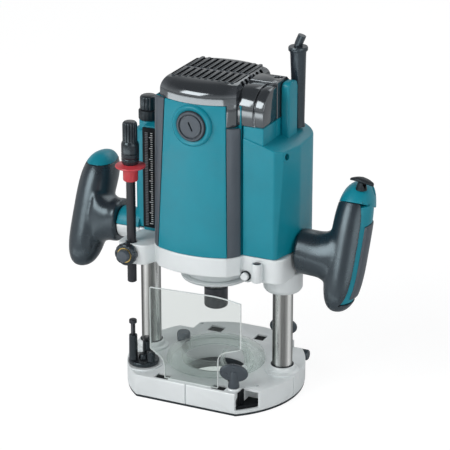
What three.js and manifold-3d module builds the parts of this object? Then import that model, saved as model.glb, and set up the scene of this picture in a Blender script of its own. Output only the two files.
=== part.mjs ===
// Plunge router: a motor unit with two handles slides down two steel columns towards a round base.
// Millimetres, +Z up. +X runs from the left handle to the right handle, and -Y is the operator's side
// (the front). Everything is drawn with the spindle axis at x = 0, y = 0 and the underside of the base
// plate at z = 0; at the end the whole router is moved so that the origin is the middle of its footprint.
import * as THREE from "three";
import { mergeVertices } from "three/addons/utils/BufferGeometryUtils.js";
import Module from "manifold-3d";

const wasm = await Module();
wasm.setup();

// ---------------------------------------------------------------- driving dimensions

const GAP = 0.3; // air between neighbouring pieces
const SIDES = 24; // facets on a round piece of ordinary size
const FOOTPRINT_MIDDLE = 8.5; // how far behind the spindle axis the middle of the footprint lies

// base
const BASE_RADIUS = 80;
const BASE_FRONT = -63.5;
const BASE_REAR = 81.5;
const BASE_STRETCH = 1.03; // the rear half of the base is a little longer than round
const PLATE_TOP = 2;
const PLATE_INSET = 0.8; // the sole plate is a little smaller than the casting
const BASE_TOP = 21.2;
const OPENING_RADIUS = 29;
const POCKETS = [
  { x: -25.3, y: -56.3, halfX: 6.6, halfY: 4.6 },
  { x: 29.3, y: -56, halfX: 6.6, halfY: 4.6 },
  { x: -27.6, y: 58.5, halfX: 7, halfY: 6 },
  { x: 17.6, y: 57.5, halfX: 5, halfY: 6 },
];
const POCKET_FLOOR = 16;
const NOTCH = { x: 47.8, front: -47, rear: 51, floor: 5.5 };
const GUIDE_BORE = { radius: 4.1, front: -55.5, rear: 61, height: 10.8 };
const COLUMN = { x: 65, radius: 9, bottom: 5, top: 168, bore: 6.2, boreFloor: 40 };
const COLLAR = { lowRadius: 14.2, lowTop: 24.5, radius: 11.6, top: 28 };

// depth stop
const ROD = { x: -60.4, y: -45, radius: 4.2, bottom: 102, top: 236 };
const TURRET = { x: -53.1, y: -38.9, bottom: 22.8, top: 27, radius: 14, hubRadius: 5, hubTop: 31, seat: 16.5 };
const POST = { circle: 9.5, radius: 4, bottom: 24, boltBore: 2.2, boltDepth: 8 };
const POSTS = [
  { angle: 220.2, top: 51 },
  { angle: 100.2, top: 40 },
  { angle: 340.2, top: 36 },
];
const STOP_BOLT = { radius: 2, headHeight: 3.5, headRadius: 3.5, tall: 14.5, short: 3.6 };
const CLAMP_HEIGHT = 131.5;
const CLAMP_NUT = { front: -59.5, back: -52.3, radius: 10, recess: 6.3, floor: -55 };
const FEED_BUTTON = { front: -64.5, back: -57.6, radius: 5.9, tip: 5.3 };
const STOP_KNOB = { bottom: 212, step: 231, shoulder: 233, top: 250, radius: 7.8, gripRadius: 6.4, boreTop: 237 };
const POINTER = { bottom: 196.5, flange: 209, top: 211.6, radius: 6.6, flangeRadius: 13.4 };
const ROD_FIT = 0.15; // air between the stop rod and what it passes through
const LIMIT = { bore: 3.6, rodRadius: 3.5, rodTop: 258, nutRadius: 9.2, nut: [238.9, 247.3] };
const LIMIT_KNOB = { radius: 7.8, bottom: 247.7, shoulder: 258.5, tip: 6.4, top: 260.2, boreTop: 258.3 };

// clear parts and their screws
const NOZZLE = { throat: 28.9, top: 31.5, skirt: 45, thickness: 2, earRadius: 6.5, earTop: 26.5, screwBore: 2.3 };
const PORT = { from: [21.5, -13, 22], to: [31.5, -20, 35], beyond: [35.5, -22.8, 40.2], radius: 14.5 };
const THUMB_SCREW = [-36.5, 8];
const THUMB = { stemRadius: 2, stemTop: 29, radius: 6.1, bottom: 28, top: 37 };
const SHIELD = {
  front: -58.6,
  thickness: 1.8,
  foot: [-22.6, 29.2],
  left: -36.4,
  right: 51,
  bend: 30,
  leftTop: 105.2,
  top: 107.5,
  rightTop: 104.5,
  rightLow: 61,
  boltCorner: { radius: 6, height: 50 }, // the cut-out over the front wing bolt
  turretCut: [[-36.2, 46.8], [-27.5, 42.4], [-23.1, 35.9]], // the cut-out beside the stop turret
};
const FRONT_WING = [42, -52.5];
const REAR_WING = [40, 59];
const WING_BOLT = { bottom: 22.8, top: 38, radius: 5, tip: 3.2, seat: 6, seatTop: 22.5 };
const WING = { height: 36.2, radius: 8.3, thickness: 3.4, stretch: 1.55, tilt: 8, turn: 22 };
const GUIDE_PLUG = { y: 56.7, z: 13, radius: 5, end: 66 };

// carriage
const CARRIAGE_BOTTOM = 100;
const BODY_BOTTOM = 122; // where the straight wall of the gear housing starts
const JOINT_HEIGHT = 140; // gear housing below, motor housing above
const COVER_SEAM = 274.5; // motor housing below, top cover above
const HUMP_SEAM = 257;
const ROOF = 291;
const HALF_WIDTH = 41;
const PANEL = { halfWidth: 33, edge: 48, crown: 55, thickness: 2.6 };
const BOX = { left: 41.6, right: 81, front: -35.5, rear: 47, top: 243, wall: 2.5 };
const TUBE_RADIUS = 11.6;
const TUBE_BORE = 9.4;
const TUBE_TOP = 238.5;
const TUBE_CEILING = 229;
const BOX_TUBE_TOP = 233; // the right tube ends inside the switch box
const BRUSH_HEIGHT = 255.3;
const BRUSH_CAP_RADIUS = 12.8;

const HUMP = {
  right: 60.5,
  top: 287.5,
  round: [21, 18], // how far the front of the front hump is rounded, along Y and Z
  frontHump: [-34, -6],
  rearHump: [-5.8, 23.5],
  fin: { x: [60.8, 68.6], y: [1, 19.5], top: 287.5 },
};
const SCALE = { x: [-62.3, -50.3], y: -18.6, z: [144, 236.4] };
const LOCK_BUTTON = { x: 45, z: 121.5, front: -38.5, back: -18, radius: 4.1, bore: 4.4, boss: 6.5 };
const LOCK_LEVER = { pivot: [-60, 18.4, 128], hub: 8, hubWidth: 9, reach: [-27, -9], radius: 4.2, tip: 3.4 };
const CORD = { leanX: 0.03, leanY: 0.01, foot: [67.5, 29, 240], radius: 3.6, end: [67.6, 29, 322.7] };
const CORD_GUARD = { bottom: 242, top: 311, flange: [309.5, 313], radius: 6, topRadius: 7.3, flangeRadius: 8.4 };

// gear housing
const BOWL = [[31, 105.3], [35.5, 108.5], [46, 123]]; // the round nose under the motor, [radius, height]
const NOSE_PLATE = { radius: 30, bottom: 101.6, top: 105 };
const SLEEVE = { radius: 17.2, lip: 14.5, lipHeight: 4 }; // round the right column
const LEFT_SLEEVE = { radius: 10.5, bottom: 118 };
const BUSH = { radius: 11, left: [122.6, 139.4], right: [103.2, 122.8] };
const ARM_STUB = { from: -70, to: -92.3, radius: 14 };
const CORNER_POST = { x: 56.8, y: -36, bottom: 120.5, top: 134, radius: 4.7 };
const RIGHT_WING = [[38, -34], [73, -34], [79, -28], [79.5, 20], [66, 36], [38, 38]];
const LEFT_WING = [[-38, -14], [-76, -13], [-79, -8], [-79, 8], [-76, 13], [-38, 18]];
const ROD_ARM = [[-38, -34], [-44, -50], [-50, -52], [-69, -52], [-72, -47], [-72, -38], [-66, -14], [-38, -8]];

// handles
const ARM = { height: 138.5, radius: 19.5, leftRadius: 18 };
const GRIP = { x: 124.5, halfX: 16.2, halfY: 19.5, low: 98, high: 199, leftHigh: 191.5, lean: 0.44, endHeight: 17 };
const REAR_BULGE = { depth: 10, from: 148, to: 178 }; // the grip grows rearwards below its cap
const CAP_SPLIT = 183; // height on the grip axis where the right cap meets the grip, square to the axis
const LEFT_CAP_SPLIT = 184; // the left cap meets its grip in a level plane
const LOCK_OFF = { place: [129.4, 19, 204.2], stemRadius: 3, stemLength: 9, hole: 3.4, press: 3 };
const SLOT = { inner: 3, front: -13.7, rear: 13, low: 104 }; // outer side of the right grip
const TRIGGER = { front: -8, low: 110, high: 168, inner: 7 };

// spindle and motor
const SHAFT = { radius: 7, bottom: 80, top: 277, socket: 5.9, socketTop: 112 };
const NUT = { radius: 10.6, bottom: 72.6, top: 92, bore: 6.2, seat: 79.5 };
const LOWER_BEARING = { radius: 15, bottom: 107, top: 119 };
const UPPER_BEARING = { radius: 11, bottom: 266, top: 274 };
const FAN = { radius: 31, bottom: 144, disc: 2, blades: 9, bladeLength: 19, bladeHeight: 7, bladeMiddle: 20.5 };
const CORE = { bottom: 160, top: 215, rotor: 19, inner: 20, outer: 33 };
const COMMUTATOR = { radius: 12, bottom: 246, top: 264 };
const BRUSH = { half: 4, tall: 10, from: 12.6, to: 44 };

// ---------------------------------------------------------------- solids from geometry

function toSolid(geometry) {
  const bare = geometry.index ? geometry.toNonIndexed() : geometry.clone();
  bare.deleteAttribute("normal");
  bare.deleteAttribute("uv");
  const merged = mergeVertices(bare, 1e-4);
  return new wasm.Manifold(
    new wasm.Mesh({
      numProp: 3,
      vertProperties: merged.attributes.position.array,
      triVerts: new Uint32Array(merged.index.array),
    }),
  );
}

function toGeometry(solid) {
  const mesh = solid.getMesh();
  const points = new Float32Array(mesh.numVert * 3);
  for (let i = 0; i < mesh.numVert; i++) {
    const start = i * mesh.numProp;
    points.set(mesh.vertProperties.subarray(start, start + 3), i * 3);
  }
  const geometry = new THREE.BufferGeometry();
  geometry.setAttribute("position", new THREE.BufferAttribute(points, 3));
  geometry.setIndex(new THREE.BufferAttribute(mesh.triVerts, 1));
  geometry.computeVertexNormals();
  return geometry;
}

const join = (...solids) => solids.reduce((whole, next) => whole.add(next));
const cut = (solid, ...tools) => tools.reduce((left, tool) => left.subtract(tool), solid);

// A prism over a closed outline of [x, y] points, between two heights.
function prism(outline, bottom, top, steps = 1) {
  const shape = new THREE.Shape(outline.map(([x, y]) => new THREE.Vector2(x, y)));
  const geometry = new THREE.ExtrudeGeometry(shape, { depth: top - bottom, bevelEnabled: false, steps });
  return geometry.translate(0, 0, bottom);
}

const plate = (outline, bottom, top) => toSolid(prism(outline, bottom, top));

function block([x0, x1], [y0, y1], [z0, z1]) {
  const geometry = new THREE.BoxGeometry(x1 - x0, y1 - y0, z1 - z0);
  return toSolid(geometry.translate((x0 + x1) / 2, (y0 + y1) / 2, (z0 + z1) / 2));
}

// A cylinder or cone between two points.
function rod(from, to, radius, { endRadius = radius, sides = SIDES } = {}) {
  const start = new THREE.Vector3(...from);
  const along = new THREE.Vector3(...to).sub(start);
  const geometry = new THREE.CylinderGeometry(endRadius, radius, along.length(), sides);
  const up = new THREE.Vector3(0, 1, 0);
  geometry.applyQuaternion(new THREE.Quaternion().setFromUnitVectors(up, along.clone().normalize()));
  const middle = start.addScaledVector(along, 0.5);
  return toSolid(geometry.translate(middle.x, middle.y, middle.z));
}

// A body turned about a vertical axis at [x, y], from a closed profile of [radius, height] points
// listed anticlockwise.
function turned(profile, [x, y] = [0, 0], sides = SIDES) {
  const points = [...profile, profile[0]].map(([radius, height]) => new THREE.Vector2(radius, height));
  const geometry = new THREE.LatheGeometry(points, sides);
  return toSolid(geometry.rotateX(Math.PI / 2).translate(x, y, 0));
}

// A ring turned about a vertical axis.
const ring = (inner, outer, bottom, top, at, sides) =>
  turned([[inner, bottom], [outer, bottom], [outer, top], [inner, top]], at, sides);

// Moves every corner of a geometry.
function moved(geometry, move) {
  const place = geometry.attributes.position;
  for (let i = 0; i < place.count; i++) {
    place.setXYZ(i, ...move(place.getX(i), place.getY(i), place.getZ(i)));
  }
  return geometry;
}

function arc([x, y], radius, from, to, count) {
  const points = [];
  for (let i = 0; i <= count; i++) {
    const angle = THREE.MathUtils.degToRad(from + ((to - from) * i) / count);
    points.push([x + radius * Math.cos(angle), y + radius * Math.sin(angle)]);
  }
  return points;
}

// ---------------------------------------------------------------- finishes

const FINISH = {
  teal: { color: 0x1c8797, roughness: 0.4, metalness: 0 },
  black: { color: 0x1b1d20, roughness: 0.3, metalness: 0 },
  grey: { color: 0x474d54, roughness: 0.6, metalness: 0 },
  rubber: { color: 0x33373c, roughness: 0.7, metalness: 0 },
  red: { color: 0xb9242c, roughness: 0.4, metalness: 0 },
  clear: { color: 0xdfe9e6, roughness: 0.1, metalness: 0, transparent: true, opacity: 0.35 },
  cast: { color: 0xc9d0d2, roughness: 0.5, metalness: 0.4 },
  steel: { color: 0xb4b6b6, roughness: 0.25, metalness: 1 },
  darkSteel: { color: 0x4a5057, roughness: 0.4, metalness: 0.8 },
  copper: { color: 0xb06a3c, roughness: 0.4, metalness: 1 },
  carbon: { color: 0x2a2a2c, roughness: 0.8, metalness: 0 },
  nylon: { color: 0x202225, roughness: 0.5, metalness: 0 },
};

const router = new THREE.Group();
router.name = "plunge_router";

function piece(name, solid, finish) {
  const mesh = new THREE.Mesh(toGeometry(solid), new THREE.MeshStandardMaterial(FINISH[finish]));
  mesh.name = name;
  router.add(mesh);
}

// ---------------------------------------------------------------- base

// The round base outline with its straight front and rear edges, drawn in by an inset.
function baseOutline(inset) {
  const radius = BASE_RADIUS - inset;
  const front = THREE.MathUtils.radToDeg(Math.asin((BASE_FRONT + inset) / radius));
  const rear = THREE.MathUtils.radToDeg(Math.asin((BASE_REAR / BASE_STRETCH - inset) / radius));
  const round = [...arc([0, 0], radius, front, rear, 24), ...arc([0, 0], radius, 180 - rear, 180 - front, 24)];
  return round.map(([x, y]) => [x, y > 0 ? y * BASE_STRETCH : y]);
}

function guideBore(y) {
  return rod([-NOTCH.x - 5, y, GUIDE_BORE.height], [NOTCH.x + 5, y, GUIDE_BORE.height], GUIDE_BORE.radius, {
    sides: 20,
  });
}

function baseCasting() {
  let casting = plate(baseOutline(0), PLATE_TOP, BASE_TOP);
  const boss = rod([TURRET.x, TURRET.y, 10], [TURRET.x, TURRET.y, TURRET.bottom - GAP], TURRET.seat);
  casting = join(casting, boss.intersect(plate(baseOutline(0), 8, 30)));
  for (const [x, y] of [FRONT_WING, REAR_WING]) {
    casting = join(casting, rod([x, y, 18], [x, y, WING_BOLT.seatTop], WING_BOLT.seat, { sides: 20 }));
  }
  for (const side of [-1, 1]) {
    const x = side * COLUMN.x;
    casting = join(
      casting,
      rod([x, 0, 18], [x, 0, COLLAR.lowTop], COLLAR.lowRadius),
      rod([x, 0, 18], [x, 0, COLLAR.top], COLLAR.radius),
    );
  }
  const tools = [
    rod([0, 0, 0], [0, 0, BASE_TOP + 5], OPENING_RADIUS, { sides: 40 }),
    guideBore(GUIDE_BORE.front),
    guideBore(GUIDE_BORE.rear),
  ];
  for (const side of [-1, 1]) {
    const across = side < 0 ? [-90, -NOTCH.x] : [NOTCH.x, 90];
    tools.push(
      block(across, [-90, NOTCH.front], [NOTCH.floor, 40]),
      block(across, [NOTCH.rear, 90], [NOTCH.floor, 40]),
      rod([side * COLUMN.x, 0, COLUMN.bottom], [side * COLUMN.x, 0, 40], COLUMN.radius + 0.05),
    );
  }
  for (const { x, y, halfX, halfY } of POCKETS) {
    tools.push(block([x - halfX, x + halfX], [y - halfY, y + halfY], [POCKET_FLOOR, 40]));
  }
  return cut(casting, ...tools);
}

const basePlate = () =>
  cut(
    plate(baseOutline(PLATE_INSET), 0, PLATE_TOP - 0.05),
    rod([0, 0, -5], [0, 0, 5], OPENING_RADIUS + 1, { sides: 40 }),
  );

// A hollow steel column: open at the top, where its spring goes in.
function column(side) {
  const { x, radius, bottom, top, bore, boreFloor } = COLUMN;
  const profile = [
    [0, bottom + 0.1],
    [radius, bottom + 0.1],
    [radius, top],
    [bore, top],
    [bore, boreFloor],
    [0, boreFloor],
  ];
  return turned(profile, [side * x, 0]);
}

// A plunge spring: a helix standing in its column.
function spring(side, coilRadius) {
  const bottom = COLUMN.boreFloor + 1.5;
  const height = TUBE_CEILING - 1.5 - bottom;
  const turns = 8;
  class Helix extends THREE.Curve {
    getPoint(t) {
      const angle = t * turns * 2 * Math.PI;
      return new THREE.Vector3(
        side * COLUMN.x + coilRadius * Math.cos(angle),
        coilRadius * Math.sin(angle),
        bottom + height * t,
      );
    }
  }
  const wire = new THREE.Shape(arc([0, 0], 0.6, 45, 315, 3).map(([x, y]) => new THREE.Vector2(x, y)));
  return toSolid(new THREE.ExtrudeGeometry(wire, { steps: turns * 8, extrudePath: new Helix() }));
}

// The clear guard round the cutter: a low dome over the opening, two ears and a slanting hose port.
function dustNozzle() {
  const { throat, top, skirt, thickness, earRadius, earTop, screwBore } = NOZZLE;
  const bottom = BASE_TOP + 0.1;
  const shoulder = top - 4.2; // where the flat top ring starts to fall towards the skirt
  const profile = [
    [throat, bottom],
    [throat + thickness, bottom],
    [throat + thickness, top - 2.5],
    [skirt - 4, shoulder - 1.8],
    [skirt - thickness, bottom],
    [skirt, bottom],
    [skirt - 2.5, shoulder],
    [throat + 2.5, top],
    [throat, top],
  ];
  const [x, y] = THUMB_SCREW;
  const ear = (side) => rod([side * x, side * y, bottom], [side * x, side * y, earTop], earRadius, { sides: 16 });
  return cut(
    join(turned(profile, [0, 0], 32), ear(1), ear(-1), rod(PORT.from, PORT.to, PORT.radius)),
    rod(PORT.from, PORT.beyond, PORT.radius - thickness),
    rod([0, 0, 10], [0, 0, 60], throat, { sides: 32 }),
    rod([x, y, 10], [x, y, 40], screwBore, { sides: 16 }),
    rod([x, y, earTop], [x, y, 40], earRadius, { sides: 20 }),
    block([-70, 70], [-70, 70], [0, bottom]),
  );
}

// The clear chip shield stands on the base in front of the cutter.
function chipShield() {
  const { front, thickness, foot, left, right, bend, leftTop, top, rightTop, rightLow } = SHIELD;
  const { boltCorner, turretCut } = SHIELD;
  const bottom = BASE_TOP + 0.1;
  const corner = [foot[1] + boltCorner.radius, boltCorner.height];
  const outline = [
    [foot[0], bottom],
    [foot[1], bottom],
    ...arc(corner, boltCorner.radius, 180, 110, 4),
    [right, rightLow],
    [right, rightTop],
    [bend, top],
    [left, leftTop],
    ...turretCut,
  ];
  return toSolid(prism(outline, 0, thickness).rotateX(Math.PI / 2).translate(0, front + thickness, 0));
}

// ---------------------------------------------------------------- small controls on the base

function wingBolt([x, y]) {
  const { bottom, top, radius, tip } = WING_BOLT;
  const { height, thickness, stretch, tilt, turn } = WING;
  const wing = new THREE.CylinderGeometry(WING.radius, WING.radius, thickness, 20).scale(stretch, 1, 1);
  wing.rotateY(THREE.MathUtils.degToRad(tilt)).rotateZ(THREE.MathUtils.degToRad(turn)).translate(x, y, height);
  return join(rod([x, y, bottom], [x, y, top], radius, { endRadius: tip, sides: 20 }), toSolid(wing));
}

function thumbScrew() {
  const [x, y] = THUMB_SCREW;
  const { stemRadius, stemTop, radius, bottom, top } = THUMB;
  return join(
    rod([x, y, BASE_TOP + GAP], [x, y, stemTop], stemRadius, { sides: 16 }),
    rod([x, y, bottom], [x, y, top], radius),
  );
}

// The rubber plug in the rear guide bore.
function guidePlug() {
  const { y, z, radius, end } = GUIDE_PLUG;
  return rod([NOTCH.x + GAP, y, z], [end, y, z], radius, { sides: 20 });
}

// ---------------------------------------------------------------- depth stop

function postPlace({ angle }) {
  const turn = THREE.MathUtils.degToRad(angle);
  return [TURRET.x + POST.circle * Math.cos(turn), TURRET.y + POST.circle * Math.sin(turn)];
}

// A disc with a hub and three posts; the first two posts take a bolt.
function stopTurret() {
  const { x, y, bottom, top, radius, hubRadius, hubTop } = TURRET;
  let turret = join(rod([x, y, bottom], [x, y, top], radius), rod([x, y, top - 2], [x, y, hubTop], hubRadius));
  for (const post of POSTS) {
    const [px, py] = postPlace(post);
    turret = join(turret, rod([px, py, POST.bottom], [px, py, post.top], POST.radius, { sides: 20 }));
  }
  for (const post of POSTS.slice(0, 2)) {
    const [px, py] = postPlace(post);
    turret = cut(turret, rod([px, py, post.top - POST.boltDepth], [px, py, post.top + 5], POST.boltBore, { sides: 12 }));
  }
  return turret;
}

// A hexagon bolt standing out of a turret post by a length.
function stopBolt(post, length) {
  const [x, y] = postPlace(post);
  const { radius, headHeight, headRadius } = STOP_BOLT;
  const top = post.top + length;
  return join(
    rod([x, y, post.top - POST.boltDepth + 1], [x, y, top], radius, { sides: 12 }),
    rod([x, y, top - headHeight], [x, y, top], headRadius, { sides: 6 }),
  );
}

const stopRod = () => rod([ROD.x, ROD.y, ROD.bottom], [ROD.x, ROD.y, ROD.top], ROD.radius, { sides: 20 });

function stopKnob() {
  const { bottom, step, shoulder, top, radius, gripRadius, boreTop } = STOP_KNOB;
  const bore = ROD.radius + ROD_FIT;
  const profile = [
    [bore, bottom],
    [radius, bottom],
    [radius, step],
    [gripRadius, shoulder],
    [gripRadius, top - 1.5],
    [gripRadius - 1, top],
    [0, top],
    [0, boreTop],
    [bore, boreTop],
  ];
  return turned(profile, [ROD.x, ROD.y]);
}

function depthPointer() {
  const { bottom, flange, top, radius, flangeRadius } = POINTER;
  const bore = ROD.radius + ROD_FIT;
  const profile = [
    [bore, bottom],
    [radius, bottom],
    [radius, flange],
    [flangeRadius, flange + 0.5],
    [flangeRadius, top - 0.6],
    [radius, top],
    [bore, top],
  ];
  return turned(profile, [ROD.x, ROD.y]);
}

const beforeClamp = (y) => [ROD.x, y, CLAMP_HEIGHT];

function clampNut() {
  const { front, back, radius, recess, floor } = CLAMP_NUT;
  return cut(rod(beforeClamp(back), beforeClamp(front), radius), rod(beforeClamp(floor), beforeClamp(front - 5), recess));
}

function fastFeedButton() {
  const { front, back, radius, tip } = FEED_BUTTON;
  return rod(beforeClamp(back), beforeClamp(front), radius, { endRadius: tip });
}

// The plunge limit: a nut and a knob on a threaded rod above the left column.
const limitNut = () => ring(LIMIT.bore, LIMIT.nutRadius, ...LIMIT.nut, [-COLUMN.x, 0]);

function limitKnob() {
  const { radius, bottom, shoulder, tip, top, boreTop } = LIMIT_KNOB;
  const profile = [
    [LIMIT.bore, bottom],
    [radius, bottom],
    [radius, shoulder],
    [tip, top],
    [0, top],
    [0, boreTop],
    [LIMIT.bore, boreTop],
  ];
  return turned(profile, [-COLUMN.x, 0]);
}

const limitRod = () =>
  rod([-COLUMN.x, 0, COLUMN.boreFloor + 0.1], [-COLUMN.x, 0, LIMIT.rodTop], LIMIT.rodRadius, { sides: 16 });

// ---------------------------------------------------------------- gear housing

// The front edge of the motor unit: a shallow arc between the two corner strips.
function frontArc(edge, crown, halfWidth, count) {
  const rise = crown - edge;
  const radius = (halfWidth * halfWidth + rise * rise) / (2 * rise);
  const half = THREE.MathUtils.radToDeg(Math.asin(halfWidth / radius));
  return arc([0, radius - crown], radius, 270 - half, 270 + half, count);
}

const mirrorY = (points) => points.map(([x, y]) => [x, -y]).reverse();

// Plan of the motor unit, pushed in by an inset on every side.
function motorOutline(inset) {
  const front = frontArc(PANEL.edge - inset, PANEL.crown - inset, PANEL.halfWidth - inset * 0.6, 8);
  const corner = [HALF_WIDTH - inset, -(38 - inset * 0.6)];
  const half = [[-corner[0], corner[1]], ...front, corner];
  return [...half, ...mirrorY(half)];
}

const HOUSING_TOP = JOINT_HEIGHT - 0.1;

// An upright rod or bore at one column, over a span of heights.
const atColumn = (side, [bottom, top], radius) => rod([side * COLUMN.x, 0, bottom], [side * COLUMN.x, 0, top], radius);

// The half round stub that carries the left handle, below or above the joint plane.
const armStub = () => rod([ARM_STUB.from, 0, ARM.height], [ARM_STUB.to, 0, ARM.height], ARM_STUB.radius);

function gearHousingBody() {
  const sleeveBottom = CARRIAGE_BOTTOM + SLEEVE.lipHeight;
  const { x, y, bottom, top, radius } = CORNER_POST;
  const lip = [COLUMN.x, 0, CARRIAGE_BOTTOM];
  return join(
    plate(motorOutline(0), BODY_BOTTOM, HOUSING_TOP),
    plate(RIGHT_WING, BODY_BOTTOM - 5, HOUSING_TOP),
    plate(LEFT_WING, BODY_BOTTOM, HOUSING_TOP),
    plate(ROD_ARM, BODY_BOTTOM + 0.5, HOUSING_TOP),
    turned([[0, BOWL[0][1]], ...BOWL, [0, BOWL[2][1]]], [0, 0], 40),
    rod(lip, [COLUMN.x, 0, sleeveBottom], SLEEVE.lip, { endRadius: SLEEVE.radius }),
    atColumn(1, [sleeveBottom, BODY_BOTTOM - 4], SLEEVE.radius),
    atColumn(1, [BODY_BOTTOM - 2, BOX_TUBE_TOP], TUBE_RADIUS),
    atColumn(-1, [LEFT_SLEEVE.bottom, BODY_BOTTOM + 2], LEFT_SLEEVE.radius),
    cut(armStub(), block([-100, -60], [-20, 20], [HOUSING_TOP, 160])),
    rod([x, y, bottom], [x, y, top], radius, { sides: 20 }),
    rod([LOCK_BUTTON.x, -34, LOCK_BUTTON.z], [LOCK_BUTTON.x, -12, LOCK_BUTTON.z], LOCK_BUTTON.boss, { sides: 20 }),
  );
}

function gearHousing() {
  const onSpindle = (from, to, radius, sides) => rod([0, 0, from], [0, 0, to], radius, { sides });
  const seat = BUSH.radius + 0.1;
  return cut(
    gearHousingBody(),
    atColumn(1, [90, TUBE_CEILING], TUBE_BORE),
    atColumn(-1, [90, 150], TUBE_BORE),
    atColumn(-1, [BUSH.left[0] - 0.2, 150], seat),
    atColumn(1, [BUSH.right[0] - 0.2, BUSH.right[1] + 0.2], seat),
    rod([ROD.x, ROD.y, 100], [ROD.x, ROD.y, 150], ROD.radius + ROD_FIT, { sides: 20 }),
    onSpindle(95, 112, 12.5, SIDES),
    onSpindle(LOWER_BEARING.bottom - 1, BODY_BOTTOM + 2, LOWER_BEARING.radius + 0.15, SIDES),
    onSpindle(BODY_BOTTOM - 2, BODY_BOTTOM + 8, 13, SIDES),
    onSpindle(BODY_BOTTOM + 4, 150, FAN.radius + 3, 40),
    rod([LOCK_BUTTON.x, -60, LOCK_BUTTON.z], [LOCK_BUTTON.x, -14, LOCK_BUTTON.z], LOCK_BUTTON.bore, { sides: 20 }),
  );
}

const bearingCover = () => ring(12.5, NOSE_PLATE.radius, NOSE_PLATE.bottom, NOSE_PLATE.top, [0, 0], 40);

const columnBush = (side, heights) => ring(COLUMN.radius + 0.05, BUSH.radius, ...heights, [side * COLUMN.x, 0]);

// ---------------------------------------------------------------- motor housing

// The motor unit narrows towards the top: its front and rear faces draw in, its sides hardly do.
function taper(x, y, z) {
  const rise = (z - JOINT_HEIGHT) / (COVER_SEAM - JOINT_HEIGHT);
  const nearCorner = THREE.MathUtils.smoothstep(Math.abs(x), PANEL.halfWidth - 2, HALF_WIDTH);
  const inX = THREE.MathUtils.lerp(0.14, 0.022, nearCorner);
  const inY = THREE.MathUtils.lerp(0.15, 0.04, nearCorner);
  return [x * (1 - inX * rise), y * (1 - inY * rise), z];
}

const tapered = (outline, bottom, top) => toSolid(moved(prism(outline, bottom, top, 3), taper));

const MOTOR_BOTTOM = JOINT_HEIGHT + 0.2;
const MOTOR_TOP = COVER_SEAM - 0.3;

function motorHousing() {
  const shell = cut(tapered(motorOutline(3.4), MOTOR_BOTTOM, MOTOR_TOP), tapered(motorOutline(6), 130, 285));
  const right = [[35.5, -34], [HALF_WIDTH, -36], [HALF_WIDTH, 36], [35.5, 34]];
  const left = right.map(([x, y]) => [-x, y]).reverse();
  const brushHoles = rod([0, -80, BRUSH_HEIGHT], [0, 80, BRUSH_HEIGHT], 7, { sides: 20 });
  return cut(
    join(shell, tapered(left, MOTOR_BOTTOM, MOTOR_TOP), tapered(right, MOTOR_BOTTOM, MOTOR_TOP)),
    brushHoles,
  );
}

// A teal face panel, front (side -1) or rear (side 1), with the raised ring round its brush cap.
function facePanel(side) {
  const { edge, crown, halfWidth, thickness } = PANEL;
  const outer = frontArc(edge, crown, halfWidth - 0.3, 10);
  const inner = frontArc(edge - thickness, crown - thickness, halfWidth - 0.3, 10).reverse();
  const outline = side < 0 ? [...outer, ...inner] : mirrorY([...outer, ...inner]);
  const boss = rod([0, side * 46, BRUSH_HEIGHT], [0, side * 50, BRUSH_HEIGHT], BRUSH_CAP_RADIUS + 3.8);
  const hole = rod([0, side * 30, BRUSH_HEIGHT], [0, side * 60, BRUSH_HEIGHT], BRUSH_CAP_RADIUS + 0.4);
  return cut(join(tapered(outline, MOTOR_BOTTOM, MOTOR_TOP), boss), hole);
}

function stripOutline(xSide, ySide) {
  const corner = [
    [PANEL.halfWidth + 0.2, PANEL.edge - 0.2],
    [HALF_WIDTH, 38],
    [HALF_WIDTH, 36.3],
    [PANEL.halfWidth + 0.2, PANEL.edge - 3],
  ];
  return corner.map(([x, y]) => [x * xSide, y * ySide]);
}

function cornerStrip(xSide, ySide) {
  const outline = stripOutline(xSide, ySide);
  const lower = xSide > 0 && ySide < 0 ? HUMP_SEAM - 2 : MOTOR_TOP;
  return tapered(xSide * ySide < 0 ? outline : outline.reverse(), MOTOR_BOTTOM, lower);
}

// ---------------------------------------------------------------- top cover

// The roof draws in over its upper part, in a quarter ellipse, and more at the front than at the rear.
function roofRound(x, y, z) {
  const start = 281;
  const climb = THREE.MathUtils.clamp((z - start) / (ROOF - start), 0, 1);
  const draw = 1 - Math.sqrt(1 - climb * climb * 0.999);
  const [tx, ty] = taper(x, y, Math.min(z, COVER_SEAM));
  const drawIn = y < 0 ? 0.4 : 0.25;
  return [tx * (0.95 - 0.16 * draw), ty * (0.99 - drawIn * draw), z];
}

// A prism across X over a profile of [y, z] points.
function across(profile, x0, x1) {
  const shape = new THREE.Shape(profile.map(([y, z]) => new THREE.Vector2(y, z)));
  const geometry = new THREE.ExtrudeGeometry(shape, { depth: x1 - x0, bevelEnabled: false });
  return toSolid(moved(geometry, (y, z, x) => [x0 + x, y, z]));
}

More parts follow.
